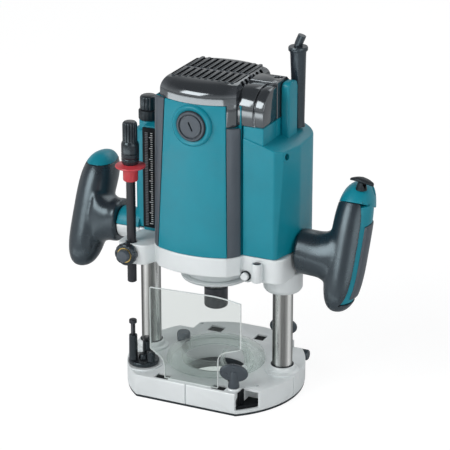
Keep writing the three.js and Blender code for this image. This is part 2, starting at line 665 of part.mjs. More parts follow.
function topCover() {
  const roof = toSolid(moved(prism(motorOutline(0), COVER_SEAM, ROOF, 6), roofRound));
  const { right, frontHump, rearHump } = HUMP;
  const frontProfile = [
    [frontHump[1], HUMP_SEAM],
    [frontHump[1], HUMP.top],
    ...arc([0, 0], 1, 90, 180, 8).map(([y, z]) => [
      frontHump[0] + HUMP.round[0] * (1 + y),
      HUMP.top + HUMP.round[1] * (z - 1),
    ]),
    [frontHump[0], HUMP_SEAM],
  ].reverse();
  const rearProfile = [
    [rearHump[0], HUMP_SEAM],
    [rearHump[1], HUMP_SEAM],
    [rearHump[1], 283],
    [rearHump[1] - 8, 289.5],
    [rearHump[0], 289.5],
  ];
  const aboveSeam = block([0, 90], [-60, 60], [COVER_SEAM, 300]);
  const whole = join(
    roof,
    across(frontProfile, BOX.left + 0.1, right),
    across(rearProfile, BOX.left + 0.1, right),
    across(frontProfile, 30, BOX.left + 1).intersect(aboveSeam),
    across(rearProfile, 30, BOX.left + 1).intersect(aboveSeam),
    tapered(stripOutline(1, -1), HUMP_SEAM - 1.7, COVER_SEAM + 1),
  );
  const tools = [block([-31, 31], [-33, 33], [COVER_SEAM - 1, 286.5])];
  for (let i = -4; i <= 4; i++) {
    const middle = i * 6.2;
    tools.push(block([middle - 1.6, middle + 1.6], [-25, -2.2], [280, 300]));
    tools.push(block([middle - 1.6, middle + 1.6], [2.2, 29], [280, 300]));
  }
  return cut(whole, ...tools);
}

// ---------------------------------------------------------------- switch box, on the right side

// The box's top face falls away from the motor unit.
const boxTop = (x) => BOX.top + 4 - 0.28 * (x - BOX.left);

function boxOutline(inset) {
  const { left, right, front, rear } = BOX;
  return [
    [left + inset, front + inset],
    [right - 10 - inset * 0.5, front + inset],
    [right - 4 - inset, front + 6 + inset * 0.5],
    [right - inset, -2],
    [right - 0.8 - inset, 24],
    [right - 3 - inset, 34],
    [right - 11 - inset * 0.8, 43 - inset * 0.8],
    [right - 30, rear - inset],
    [left + inset, rear - inset],
  ];
}

// A prism over the box outline whose top face follows the falling roof of the box.
function underBoxTop(inset, bottom, below) {
  const geometry = prism(boxOutline(inset), bottom, 200);
  return toSolid(moved(geometry, (x, y, z) => [x, y, z > bottom + 1 ? boxTop(x) - below : z]));
}

function switchBox() {
  const { right, frontHump, rearHump, fin } = HUMP;
  const whole = join(
    underBoxTop(0, MOTOR_BOTTOM, 0),
    block([BOX.left, right], [frontHump[0], rearHump[1]], [238, HUMP_SEAM - GAP]),
    block(fin.x, fin.y, [236, fin.top]),
  );
  return cut(
    whole,
    underBoxTop(BOX.wall, MOTOR_BOTTOM - 5, BOX.wall),
    rod([70, -19, 231], [90, -19, 231], 3, { sides: 16 }),
  );
}

// A point on the leaning middle line of the cord, at a height.
function cordPoint(height) {
  const [x, y, foot] = CORD.foot;
  return [x - (height - foot) * CORD.leanX, y - (height - foot) * CORD.leanY, height];
}

function cordGuard() {
  const { bottom, top, flange, radius, topRadius, flangeRadius } = CORD_GUARD;
  return cut(
    join(
      rod(cordPoint(bottom), cordPoint(top), radius, { endRadius: topRadius }),
      rod(cordPoint(flange[0]), cordPoint(flange[1]), flangeRadius),
    ),
    rod(cordPoint(bottom - 12), cordPoint(flange[1] + 17), CORD.radius + 0.2, { sides: 16 }),
  );
}

function powerCord() {
  const bend = CORD_GUARD.flange[1] + 2;
  return join(
    rod(cordPoint(CORD_GUARD.bottom), cordPoint(bend), CORD.radius, { sides: 16 }),
    rod(cordPoint(bend - 1), CORD.end, CORD.radius, { sides: 16 }),
  );
}

// ---------------------------------------------------------------- left column housing

function columnHousingLeft() {
  const half = block([-100, -60], [-20, 20], [MOTOR_BOTTOM, 170]);
  const whole = join(
    rod([-COLUMN.x, 0, MOTOR_BOTTOM], [-COLUMN.x, 0, TUBE_CEILING + 2], TUBE_RADIUS),
    rod([-COLUMN.x, 0, TUBE_CEILING], [-COLUMN.x, 0, TUBE_TOP], 8.6),
    block([SCALE.x[0] - 0.2, -BOX.left], [SCALE.y + 2.3, 12], [MOTOR_BOTTOM, SCALE.z[1] + 1]),
    armStub().intersect(half),
  );
  return cut(
    whole,
    rod([-COLUMN.x, 0, 130], [-COLUMN.x, 0, TUBE_CEILING], TUBE_BORE),
    rod([-COLUMN.x, 0, 200], [-COLUMN.x, 0, 250], 4.2, { sides: 20 }),
  );
}

const scalePlate = () => block(SCALE.x, [SCALE.y, SCALE.y + 2], SCALE.z);

// ---------------------------------------------------------------- handles

const gripLine = (height) => GRIP.lean * (height - ARM.height);

// The grip's rounded body on the right side, grown by a thickness, with or without its rear bulge.
function gripBody(grow, { high = GRIP.high, bulge = 0 } = {}) {
  const half = (high - GRIP.low) / 2 + grow;
  const middle = (high + GRIP.low) / 2;
  const capsule = new THREE.CapsuleGeometry(1, (2 * (half - GRIP.endHeight)) / GRIP.endHeight, 5, 22, 5);
  return toSolid(
    moved(capsule.rotateX(Math.PI / 2), (u, v, w) => {
      const height = middle + w * GRIP.endHeight;
      const rise = THREE.MathUtils.smoothstep(height, REAR_BULGE.from, REAR_BULGE.to);
      const halfY = GRIP.halfY + grow + (v > 0 ? bulge * rise : 0);
      return [GRIP.x + u * (GRIP.halfX + grow), gripLine(height) + v * halfY, height];
    }),
  );
}

// A prism that leans with the grip, over an outline of [outward, rearward] points about its axis.
function alongGrip(outline, low, high) {
  return toSolid(moved(prism(outline, low, high), (u, v, z) => [GRIP.x + u, v + gripLine(z), z]));
}

// The part of space above a plane square to the leaning grip.
function aboveSplit(height) {
  const box = new THREE.BoxGeometry(120, 120, 80).translate(0, 0, 40);
  box.rotateX(-Math.atan(GRIP.lean));
  return toSolid(box.translate(GRIP.x, gripLine(height), height));
}

// The part of space round the grip above a level plane.
const aboveLevel = (height) => block([GRIP.x - 40, GRIP.x + 40], [-60, 80], [height, 300]);

const gripArm = () =>
  rod([BOX.right + GAP, 0, ARM.height], [GRIP.x - 6, 0, ARM.height], ARM.radius, { endRadius: ARM.radius - 1 });

const OUTSIDE = 40; // past the outer side of the grip

function slotOutline(gap, front = SLOT.front) {
  return [
    [SLOT.inner + gap, front + gap],
    [OUTSIDE, front + gap],
    [OUTSIDE, SLOT.rear - gap],
    [SLOT.inner + gap, SLOT.rear - gap],
  ];
}

function handleRight() {
  const slot = alongGrip(slotOutline(0), SLOT.low, 300);
  return cut(join(gripBody(0), gripArm()), aboveSplit(CAP_SPLIT), slot);
}

// The teal cap of the right grip with the spine that runs down behind the trigger.
function handleRightCap() {
  const [x, y, z] = LOCK_OFF.place;
  const spine = gripBody(-4).intersect(alongGrip(slotOutline(GAP), SLOT.low + GAP, 190));
  const bridge = gripBody(0).intersect(alongGrip(slotOutline(GAP), TRIGGER.high + 1, 190));
  const cap = gripBody(0, { bulge: REAR_BULGE.depth }).intersect(aboveSplit(CAP_SPLIT + GAP));
  const stemHole = rod([x, y, z - LOCK_OFF.stemLength - LOCK_OFF.press], [x, y, z + 5], LOCK_OFF.hole, { sides: 16 });
  return cut(join(spine, bridge, cap), stemHole);
}

function trigger() {
  const skin = cut(gripBody(1.6), gripBody(-1));
  const region = alongGrip(slotOutline(GAP + 0.2, TRIGGER.front), TRIGGER.low, TRIGGER.high);
  return skin.intersect(region).intersect(block([GRIP.x + TRIGGER.inner, 200], [-60, 60], [100, 190]));
}

function lockOffLever() {
  const [x, y, z] = LOCK_OFF.place;
  const bar = new THREE.CapsuleGeometry(1, 2.4, 4, 16).rotateZ(Math.PI / 2);
  bar.scale(5, 4.5, 1.7).rotateY(THREE.MathUtils.degToRad(14)).translate(x, y, z);
  return join(toSolid(bar), rod([x, y, z], [x, y, z - LOCK_OFF.stemLength], LOCK_OFF.stemRadius, { sides: 16 }));
}

// Mirrors a solid to the other side of the spindle.
function mirrored(solid) {
  const mesh = solid.getMesh();
  const points = new Float32Array(mesh.vertProperties);
  for (let i = 0; i < points.length; i += mesh.numProp) {
    points[i] = -points[i];
  }
  return new wasm.Manifold(
    new wasm.Mesh({ numProp: mesh.numProp, vertProperties: points, triVerts: mesh.triVerts.slice().reverse() }),
  );
}

const leftGrip = () => gripBody(0, { high: GRIP.leftHigh, bulge: REAR_BULGE.depth });

function handleLeft() {
  const arm = rod([0.5 - ARM_STUB.to, 0, ARM.height], [GRIP.x - 6, 0, ARM.height], ARM.leftRadius);
  return mirrored(cut(join(leftGrip(), arm), aboveLevel(LEFT_CAP_SPLIT)));
}

const handleLeftCap = () => mirrored(leftGrip().intersect(aboveLevel(LEFT_CAP_SPLIT + GAP)));

// ---------------------------------------------------------------- controls on the carriage

function brushCap(side) {
  const cap = rod([0, side * 46.2, BRUSH_HEIGHT], [0, side * 50.6, BRUSH_HEIGHT], BRUSH_CAP_RADIUS);
  return cut(cap, block([-6.5, 6.5], side < 0 ? [-60, -49.6] : [49.6, 60], [BRUSH_HEIGHT - 1, BRUSH_HEIGHT + 1]));
}

function brush(side) {
  const { half, tall, from, to } = BRUSH;
  const reach = side < 0 ? [-to, -from] : [from, to];
  return block([-half, half], reach, [BRUSH_HEIGHT - tall / 2, BRUSH_HEIGHT + tall / 2]);
}

function spindleLockButton() {
  const { x, z, front, back, radius } = LOCK_BUTTON;
  return rod([x, front, z], [x, back, z], radius, { sides: 20 });
}

// The lever behind the left column that locks the plunge.
function plungeLockLever() {
  const { pivot, hub, hubWidth, reach, radius, tip } = LOCK_LEVER;
  const [x, y, z] = pivot;
  const middle = y + hubWidth * 0.6;
  return join(
    rod([x, y, z], [x, y + hubWidth, z], hub),
    rod([x, middle, z], [x + reach[0], middle, z + reach[1]], radius, { endRadius: tip, sides: 16 }),
  );
}

// ---------------------------------------------------------------- motor and spindle

function spindleShaft() {
  const { radius, bottom, top, socket, socketTop } = SHAFT;
  return turned([
    [0, socketTop],
    [socket, socketTop],
    [socket, bottom],
    [radius, bottom],
    [radius, top],
    [0, top],
  ]);
}

const onShaft = (radius, bottom, top) => ring(SHAFT.radius + 0.1, radius, bottom, top);

function coolingFan() {
  const { radius, bottom, disc, blades, bladeLength, bladeHeight, bladeMiddle } = FAN;
  const bladeCentre = bottom + disc - 0.5 + bladeHeight / 2;
  let fan = onShaft(radius, bottom, bottom + disc);
  for (let i = 0; i < blades; i++) {
    const blade = new THREE.BoxGeometry(bladeLength, 1.4, bladeHeight).translate(bladeMiddle, 0, bladeCentre);
    fan = join(fan, toSolid(blade.rotateZ((i * 2 * Math.PI) / blades)));
  }
  return fan;
}

function colletNut() {
  const { radius, bottom, top, bore, seat } = NUT;
  return turned([
    [bore, bottom],
    [radius, bottom],
    [radius, top],
    [SHAFT.radius + 0.1, top],
    [SHAFT.radius + 0.1, seat],
    [bore, seat],
  ]);
}

// ---------------------------------------------------------------- the router

piece("base_casting", baseCasting(), "cast");
piece("base_plate", basePlate(), "nylon");
piece("column_left", column(-1), "steel");
piece("column_right", column(1), "steel");
piece("limit_rod", limitRod(), "steel");
piece("dust_nozzle", dustNozzle(), "clear");
piece("chip_shield", chipShield(), "clear");
piece("guide_bore_plug", guidePlug(), "rubber");
piece("nozzle_thumb_screw", thumbScrew(), "grey");
piece("wing_bolt_front", wingBolt(FRONT_WING), "black");
piece("wing_bolt_rear", wingBolt(REAR_WING), "black");
piece("limit_nut", limitNut(), "nylon");
piece("limit_knob", limitKnob(), "black");
piece("stop_turret", stopTurret(), "black");
piece("stop_bolt_tall", stopBolt(POSTS[0], STOP_BOLT.tall), "darkSteel");
piece("stop_bolt_short", stopBolt(POSTS[1], STOP_BOLT.short), "darkSteel");

piece("gear_housing", gearHousing(), "cast");
piece("bearing_cover", bearingCover(), "cast");
piece("column_bush_left", columnBush(-1, BUSH.left), "darkSteel");
piece("column_bush_right", columnBush(1, BUSH.right), "darkSteel");
piece("plunge_spring_left", spring(-1, 4.9), "steel");
piece("plunge_spring_right", spring(1, 4.6), "steel");
piece("motor_housing", motorHousing(), "teal");
piece("front_panel", facePanel(-1), "teal");
piece("rear_panel", facePanel(1), "teal");
piece("corner_strip_front_left", cornerStrip(-1, -1), "grey");
piece("corner_strip_front_right", cornerStrip(1, -1), "grey");
piece("corner_strip_rear_left", cornerStrip(-1, 1), "grey");
piece("corner_strip_rear_right", cornerStrip(1, 1), "grey");
piece("top_cover", topCover(), "black");
piece("switch_box", switchBox(), "teal");
piece("cord_guard", cordGuard(), "rubber");
piece("power_cord", powerCord(), "rubber");
piece("column_housing_left", columnHousingLeft(), "teal");
piece("scale_plate", scalePlate(), "black");
piece("handle_left", handleLeft(), "rubber");
piece("handle_left_cap", handleLeftCap(), "teal");
piece("handle_right", handleRight(), "rubber");
piece("handle_right_cap", handleRightCap(), "teal");
piece("switch_trigger", trigger(), "grey");
piece("lock_off_lever", lockOffLever(), "black");
piece("stop_rod", stopRod(), "darkSteel");
piece("stop_knob", stopKnob(), "black");
piece("depth_pointer", depthPointer(), "red");
piece("clamp_nut", clampNut(), "black");
piece("fast_feed_button", fastFeedButton(), "black");
piece("plunge_lock_lever", plungeLockLever(), "grey");
piece("spindle_lock_button", spindleLockButton(), "steel");
piece("brush_cap_front", brushCap(-1), "grey");
piece("brush_cap_rear", brushCap(1), "grey");
piece("brush_front", brush(-1), "carbon");
piece("brush_rear", brush(1), "carbon");
piece("stator", ring(CORE.inner, CORE.outer, CORE.bottom, CORE.top, [0, 0], 40), "darkSteel");
piece("bearing_upper", onShaft(UPPER_BEARING.radius, UPPER_BEARING.bottom, UPPER_BEARING.top), "steel");
piece("bearing_lower", onShaft(LOWER_BEARING.radius, LOWER_BEARING.bottom, LOWER_BEARING.top), "steel");

piece("spindle_shaft", spindleShaft(), "steel");
piece("armature_core", onShaft(CORE.rotor, CORE.bottom, CORE.top), "copper");
piece("commutator", onShaft(COMMUTATOR.radius, COMMUTATOR.bottom, COMMUTATOR.top), "copper");
piece("cooling_fan", coolingFan(), "nylon");
piece("collet_nut", colletNut(), "darkSteel");

router.position.y = -FOOTPRINT_MIDDLE;

export default router;
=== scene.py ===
import math

import bmesh
import bpy
from mathutils import Matrix, Vector


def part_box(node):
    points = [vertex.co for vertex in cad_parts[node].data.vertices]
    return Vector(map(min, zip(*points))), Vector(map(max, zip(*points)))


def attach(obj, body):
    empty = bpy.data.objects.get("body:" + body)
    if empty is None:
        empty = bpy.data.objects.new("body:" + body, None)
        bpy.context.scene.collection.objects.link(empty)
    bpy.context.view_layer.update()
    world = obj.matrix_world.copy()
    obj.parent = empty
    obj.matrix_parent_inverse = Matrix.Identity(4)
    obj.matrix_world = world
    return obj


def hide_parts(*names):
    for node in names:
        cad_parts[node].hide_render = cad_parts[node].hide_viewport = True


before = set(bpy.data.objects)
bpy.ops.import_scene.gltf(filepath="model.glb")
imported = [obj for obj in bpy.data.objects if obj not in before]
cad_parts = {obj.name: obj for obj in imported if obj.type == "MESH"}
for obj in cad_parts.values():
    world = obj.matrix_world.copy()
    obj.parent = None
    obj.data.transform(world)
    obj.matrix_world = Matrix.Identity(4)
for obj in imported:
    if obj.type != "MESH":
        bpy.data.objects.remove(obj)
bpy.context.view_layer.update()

MM = 0.001


MM = 0.001
SPINDLE = Vector((0, (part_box("column_left")[0].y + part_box("column_left")[1].y) / 2, 0))


def span(node):
    """Lowest and highest corner of a CAD node in millimetres, measured from the spindle axis."""
    low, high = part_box(node)
    return (low - SPINDLE) / MM, (high - SPINDLE) / MM


def middle(node):
    low, high = span(node)
    return (low + high) / 2


# ------------------------------------------------------------------ sizes, in millimetres

# motor unit
SEAM = span("front_panel")[0].z
PANEL_TOP = span("front_panel")[1].z
PANEL_HALF = span("front_panel")[1].x
PANEL_CROWN = -span("front_panel")[0].y
PANEL_EDGE = PANEL_CROWN - 7
PANEL_THICK = 2.6
HALF_WIDTH = span("motor_housing")[1].x
COVER_BASE = PANEL_TOP + 0.3
ROOF = span("top_cover")[1].z
BRUSH = middle("brush_cap_front").z
BRUSH_CAP = (span("brush_cap_front")[1].x - span("brush_cap_front")[0].x) / 2

# switch box and the black humps above it
BOX_LEFT = span("switch_box")[0].x
BOX_RIGHT = span("switch_box")[1].x
BOX_FRONT = span("switch_box")[0].y
BOX_REAR = span("switch_box")[1].y
BOX_TOP = 247.0
BOX_FALL = 0.28
BOX_SCREW = (74.0, -24.0, 231.6)
HUMP_BASE = span("top_cover")[0].z + 1.7
HUMP_RIGHT = span("top_cover")[1].x
HUMP_FRONT = -34.0
HUMP_ROUND = (21.0, 18.0)
HUMP_SPLIT = 51.0

# columns and base
COLUMN_X = middle("column_right").x
COLUMN_RADIUS = (span("column_right")[1].x - span("column_right")[0].x) / 2
BASE_RADIUS = span("base_casting")[1].x
BASE_FRONT = span("base_casting")[0].y
BASE_REAR = span("base_casting")[1].y
BASE_TOP = 21.2
BASE_STRETCH = 1.03
POCKETS = [(-25.3, -56.3, 6.6, 4.6), (29.3, -56.0, 6.6, 4.6), (-27.6, 58.5, 7.0, 6.0), (17.6, 57.5, 5.0, 6.0)]
OPENING = 29.0

# handles
ARM_HEIGHT = 138.5
GRIP_X = 124.5
GRIP_HALF_X = 16.2
GRIP_HALF_Y = 19.5
GRIP_LEAN = 0.44
REAR_BULGE = 10.0
SLOT_FRONT = -13.7
TRIGGER_FRONT = -8.0
TRIGGER_TOP = 168.0

# depth stop
ROD_X = middle("stop_rod").x
ROD_Y = middle("stop_rod").y
CLAMP_HEIGHT = middle("clamp_nut").z
TURRET_X = middle("stop_turret").x
TURRET_Y = middle("stop_turret").y

# ------------------------------------------------------------------ shapes


def mesh_piece(name, points, faces):
    """A new object from points in millimetres."""
    mesh = bpy.data.meshes.new(name)
    mesh.from_pydata([Vector(p) * MM for p in points], [], faces)
    work = bmesh.new()
    work.from_mesh(mesh)
    bmesh.ops.remove_doubles(work, verts=work.verts, dist=1e-7)
    bmesh.ops.recalc_face_normals(work, faces=work.faces)
    work.to_mesh(mesh)
    work.free()
    piece = bpy.data.objects.new(name, mesh)
    bpy.context.collection.objects.link(piece)
    return piece


def loft(name, rings, closed=False):
    """A skin over rings of equally many points, capped at both ends or closed into a loop."""
    count = len(rings[0])
    points = [p for ring in rings for p in ring]
    faces = []
    for i in range(len(rings) if closed else len(rings) - 1):
        here = i * count
        there = (i + 1) % len(rings) * count
        for k in range(count):
            after = (k + 1) % count
            faces.append((here + k, here + after, there + after, there + k))
    if not closed:
        faces.append(tuple(reversed(range(count))))
        faces.append(tuple(range(len(points) - count, len(points))))
    return mesh_piece(name, points, faces)


def prism(name, outline, low, high, levels=2, move=None):
    """An upright prism over an outline, each point passed through move if given."""
    rings = []
    for i in range(levels):
        z = low + (high - low) * i / (levels - 1)
        rings.append([move(x, y, z) if move else (x, y, z) for x, y in outline])
    return loft(name, rings)


def block(name, x, y, z):
    outline = [(x[0], y[0]), (x[1], y[0]), (x[1], y[1]), (x[0], y[1])]
    return prism(name, outline, z[0], z[1])


def across(name, profile, x0, x1):
    """A prism that runs along X over a profile of (y, z) points."""
    return loft(name, [[(x, y, z) for y, z in profile] for x in (x0, x1)])


def turned(name, profile, place=Matrix(), steps=64, ripple=None):
    """A body turned about local Z from (radius, height) points; off the axis it closes on itself."""
    rings = []
    for radius, height in profile:
        ring = []
        for k in range(steps):
            angle = 2 * math.pi * k / steps
            reach = ripple(angle, radius, height) if ripple else radius
            ring.append(place @ Vector((reach * math.cos(angle), reach * math.sin(angle), height)))
        rings.append(ring)
    return loft(name, rings, closed=profile[0][0] > 0)


def at(x, y, z=0.0):
    return Matrix.Translation((x, y, z))


def along(start, end):
    """The frame whose Z axis runs from start to end."""
    start, end = Vector(start), Vector(end)
    return Matrix.Translation(start) @ (end - start).to_track_quat("Z", "Y").to_matrix().to_4x4()


def rod(name, start, end, radius, end_radius=None, chamfer=0.0, steps=48):
    length = (Vector(end) - Vector(start)).length
    last = radius if end_radius is None else end_radius
    profile = [(0, 0), (radius, 0), (last, length), (0, length)]
    if chamfer:
        profile[1:3] = [(radius - chamfer, 0), (radius, chamfer), (last, length - chamfer), (last - chamfer, length)]
    return turned(name, profile, along(start, end), steps)


def arc(centre, radius, start, stop, count):
    points = []
    for i in range(count + 1):
        angle = math.radians(start + (stop - start) * i / count)
        points.append((centre[0] + radius * math.cos(angle), centre[1] + radius * math.sin(angle)))
    return points


def rounded(outline, reach, steps=5):
    """An outline with each corner rounded from reach before it to reach after it."""
    reaches = reach if isinstance(reach, list) else [reach] * len(outline)
    points = []
    for i, place in enumerate(outline):
        corner = Vector(place)
        if reaches[i] == 0:
            points.append(tuple(corner))
            continue
        before = Vector(outline[i - 1]) - corner
        after = Vector(outline[(i + 1) % len(outline)]) - corner
        start = corner + before.normalized() * min(reaches[i], before.length * 0.48)
        end = corner + after.normalized() * min(reaches[i], after.length * 0.48)
        for k in range(steps + 1):
            t = k / steps
            points.append(tuple(start * (1 - t) ** 2 + corner * 2 * t * (1 - t) + end * t**2))
    return points


# ------------------------------------------------------------------ changes to shapes


def bake(piece):
    """Applies the modifiers of a piece to its mesh."""
    shown = piece.evaluated_get(bpy.context.evaluated_depsgraph_get())
    mesh = bpy.data.meshes.new_from_object(shown)
    piece.modifiers.clear()
    piece.data = mesh
    return piece


def combine(piece, tools, operation):
    for tool in tools:
        change = piece.modifiers.new("combine", "BOOLEAN")
        change.operation = operation
        change.solver = "MANIFOLD"
        change.object = tool
        bake(piece)
        bpy.data.objects.remove(tool)
    return piece


def cut(piece, *tools):
    return combine(piece, tools, "DIFFERENCE")


def join(piece, *tools):
    return combine(piece, tools, "UNION")


def common(piece, tool):
    return combine(piece, [tool], "INTERSECT")


def copy_of(piece, name):
    twin = piece.copy()
    twin.data = piece.data.copy()
    twin.name = name
    bpy.context.collection.objects.link(twin)
    return twin


def mirrored(piece):
    """Turns a piece into its mirror image on the other side of the spindle."""
    piece.data.transform(Matrix.Scale(-1, 4, (1, 0, 0)))
    piece.data.flip_normals()
    return piece


def soften(piece, width, segments=3, angle=32):
    """Rounds every edge sharper than an angle."""
    bevel = piece.modifiers.new("edges", "BEVEL")
    bevel.width = width * MM
    bevel.segments = segments
    bevel.limit_method = "ANGLE"
    bevel.angle_limit = math.radians(angle)
    bevel.use_clamp_overlap = False
    return bake(piece)


def melt(piece, voxel, passes):
    """Remeshes a piece evenly and smooths it, so that its corners turn into cast or moulded fillets."""
    remesh = piece.modifiers.new("even", "REMESH")
    remesh.mode = "VOXEL"
    remesh.voxel_size = voxel * MM
    smooth = piece.modifiers.new("smooth", "SMOOTH")
    smooth.factor = 0.5
    smooth.iterations = passes
    return bake(piece)


# ------------------------------------------------------------------ materials


def new_material(name):
    material = bpy.data.materials.new(name)
    material.use_nodes = True
    tree = material.node_tree
    tree.nodes.clear()
    output = tree.nodes.new("ShaderNodeOutputMaterial")
    return material, tree, output


def noise_at(tree, scale, stretch=(1, 1, 1), detail=4.0):
    """Noise in the object's own space, in metres."""
    place = tree.nodes.new("ShaderNodeTexCoord")
    mapping = tree.nodes.new("ShaderNodeMapping")
    mapping.inputs["Scale"].default_value = stretch
    noise = tree.nodes.new("ShaderNodeTexNoise")
    noise.inputs["Scale"].default_value = scale
    noise.inputs["Detail"].default_value = detail
    tree.links.new(place.outputs["Object"], mapping.inputs["Vector"])
    tree.links.new(mapping.outputs["Vector"], noise.inputs["Vector"])
    return noise.outputs["Fac"]


def spread(tree, value, low, high):
    """Maps the middle of a noise to a range."""
    node = tree.nodes.new("ShaderNodeMapRange")
    node.inputs["From Min"].default_value = 0.3
    node.inputs["From Max"].default_value = 0.7
    node.inputs["To Min"].default_value = low
    node.inputs["To Max"].default_value = high
    tree.links.new(value, node.inputs["Value"])
    return node.outputs["Result"]


def shaded(tree, color, value, amount):
    """A colour made lighter and darker by a noise."""
    node = tree.nodes.new("ShaderNodeHueSaturation")
    node.inputs["Color"].default_value = (*color, 1)
    tree.links.new(spread(tree, value, 1 - amount, 1 + amount), node.inputs["Value"])
    return node.outputs["Color"]


def worn(tree, color, edge_color, amount):
    """Mixes in a second colour where the surface is a sharp outer edge."""
    geometry = tree.nodes.new("ShaderNodeNewGeometry")
    edge = tree.nodes.new("ShaderNodeMapRange")
    edge.inputs["From Min"].default_value = 0.53
    edge.inputs["From Max"].default_value = 0.62
    edge.inputs["To Max"].default_value = amount
    tree.links.new(geometry.outputs["Pointiness"], edge.inputs["Value"])
    mix = tree.nodes.new("ShaderNodeMix")
    mix.data_type = "RGBA"
    tree.links.new(edge.outputs["Result"], mix.inputs["Factor"])
    tree.links.new(color, mix.inputs["A"])
    mix.inputs["B"].default_value = (*edge_color, 1)
    return mix.outputs["Result"]


def surface(name, color, roughness, metallic=0.0, mottle=0.05, grain=1800.0, bump=0.05,
            stretch=(1, 1, 1), edge=None, tint=(1, 1, 1), ior=1.5):
    """A moulded, cast, ground or blackened surface."""
    material, tree, output = new_material(name)
    shader = tree.nodes.new("ShaderNodeBsdfPrincipled")
    shader.inputs["Metallic"].default_value = metallic
    shader.inputs["Specular Tint"].default_value = (*tint, 1)
    shader.inputs["IOR"].default_value = ior
    patches = noise_at(tree, 45.0, stretch)
    base = shaded(tree, color, patches, mottle)
    if edge:
        base = worn(tree, base, edge, 0.55)
    tree.links.new(base, shader.inputs["Base Color"])
    tree.links.new(spread(tree, patches, roughness * 0.85, roughness * 1.18), shader.inputs["Roughness"])
    relief = tree.nodes.new("ShaderNodeBump")
    relief.inputs["Strength"].default_value = bump
    relief.inputs["Distance"].default_value = 0.0004
    tree.links.new(noise_at(tree, grain, stretch, 2.0), relief.inputs["Height"])
    tree.links.new(relief.outputs["Normal"], shader.inputs["Normal"])
    tree.links.new(shader.outputs["BSDF"], output.inputs["Surface"])
    return material


def steel_with_painted_reflections(name):
    """Ground steel with painted reflections: light and dark bands in its base colour, set by which way the surface
    faces, like the ones round shiny bars show.
    """
    material, tree, output = new_material(name)
    shader = tree.nodes.new("ShaderNodeBsdfPrincipled")
    shader.inputs["Metallic"].default_value = 1.0
    geometry = tree.nodes.new("ShaderNodeNewGeometry")
    across_view = tree.nodes.new("ShaderNodeVectorMath")
    across_view.operation = "DOT_PRODUCT"
    across_view.inputs[1].default_value = (0.904, 0.427, 0)
    tree.links.new(geometry.outputs["Normal"], across_view.inputs[0])
    place = tree.nodes.new("ShaderNodeMapRange")
    place.inputs["From Min"].default_value = -1.0
    tree.links.new(across_view.outputs["Value"], place.inputs["Value"])
    # Painted reflections: this ramp turns the surface's facing into light and dark bands of base colour.
    bands = tree.nodes.new("ShaderNodeValToRGB")
    stops = [(0.0, 0.07), (0.08, 0.12), (0.14, 0.5), (0.22, 1.0), (0.31, 0.75), (0.42, 0.26), (0.58, 0.24),
             (0.68, 0.42), (0.78, 1.0), (0.88, 0.9), (0.94, 0.35), (1.0, 0.18)]
    bands.color_ramp.elements.remove(bands.color_ramp.elements[1])
    bands.color_ramp.elements[0].color = (stops[0][1], stops[0][1], stops[0][1], 1)
    for position, value in stops[1:]:
        bands.color_ramp.elements.new(position).color = (value, value * 1.01, value * 0.99, 1)
    tree.links.new(place.outputs["Result"], bands.inputs["Fac"])
    grain = noise_at(tree, 60.0, (14, 14, 0.4), 2.0)
    tint = tree.nodes.new("ShaderNodeHueSaturation")
    tree.links.new(bands.outputs["Color"], tint.inputs["Color"])
    tree.links.new(spread(tree, grain, 0.93, 1.05), tint.inputs["Value"])
    tree.links.new(tint.outputs["Color"], shader.inputs["Base Color"])
    tree.links.new(spread(tree, grain, 0.24, 0.34), shader.inputs["Roughness"])
    tree.links.new(shader.outputs["BSDF"], output.inputs["Surface"])
    return material


def clear_surface(name, tint, least, edge_glow):
    """Clear plastic seen as a thin wall: mostly see-through, shiny and paler where seen edge-on."""
    material, tree, output = new_material(name)
    through = tree.nodes.new("ShaderNodeBsdfTransparent")
    through.inputs["Color"].default_value = (*tint, 1)
    wall = tree.nodes.new("ShaderNodeBsdfPrincipled")
    haze = noise_at(tree, 60.0)
    tree.links.new(shaded(tree, (0.80, 0.86, 0.84), haze, 0.05), wall.inputs["Base Color"])
    tree.links.new(spread(tree, haze, 0.06, 0.14), wall.inputs["Roughness"])
    facing = tree.nodes.new("ShaderNodeLayerWeight")
    facing.inputs["Blend"].default_value = 0.25
    amount = tree.nodes.new("ShaderNodeMapRange")
    amount.inputs["From Min"].default_value = 0.12
    amount.inputs["From Max"].default_value = 0.85
    amount.inputs["To Min"].default_value = least
    amount.inputs["To Max"].default_value = edge_glow
    tree.links.new(facing.outputs["Facing"], amount.inputs["Value"])
    mix = tree.nodes.new("ShaderNodeMixShader")
    tree.links.new(amount.outputs["Result"], mix.inputs["Fac"])
    tree.links.new(through.outputs["BSDF"], mix.inputs[1])
    tree.links.new(wall.outputs["BSDF"], mix.inputs[2])
    tree.links.new(mix.outputs["Shader"], output.inputs["Surface"])
    return material


COOL = (0.74, 0.92, 1.0)
TEAL = surface("teal_plastic", (0.003, 0.252, 0.335), 0.36, mottle=0.05, ior=1.44)
GLOSS = surface("black_plastic.gloss", (0.012, 0.013, 0.016), 0.13, grain=700, bump=0.02,
                edge=(0.14, 0.15, 0.17), tint=(0.88, 0.96, 1.0), ior=2.3)
BLACK = surface("black_plastic", (0.010, 0.011, 0.014), 0.24, grain=900, bump=0.04,
                edge=(0.10, 0.11, 0.13), tint=COOL, ior=1.6)
# Matt black of the scale, also used for the blocks that paint shade in the base's pockets and notch.
MATT_AND_PAINTED_SHADE = surface("black_plastic.matt_and_painted_shade", (0.007, 0.009, 0.011), 0.6, grain=900, bump=0.08, ior=1.25)
GREY = surface("grey_plastic", (0.070, 0.088, 0.108), 0.42, grain=1500, bump=0.15)
RUBBER = surface("grip_rubber", (0.014, 0.018, 0.025), 0.28, grain=1300, bump=0.08, tint=COOL, ior=1.78)
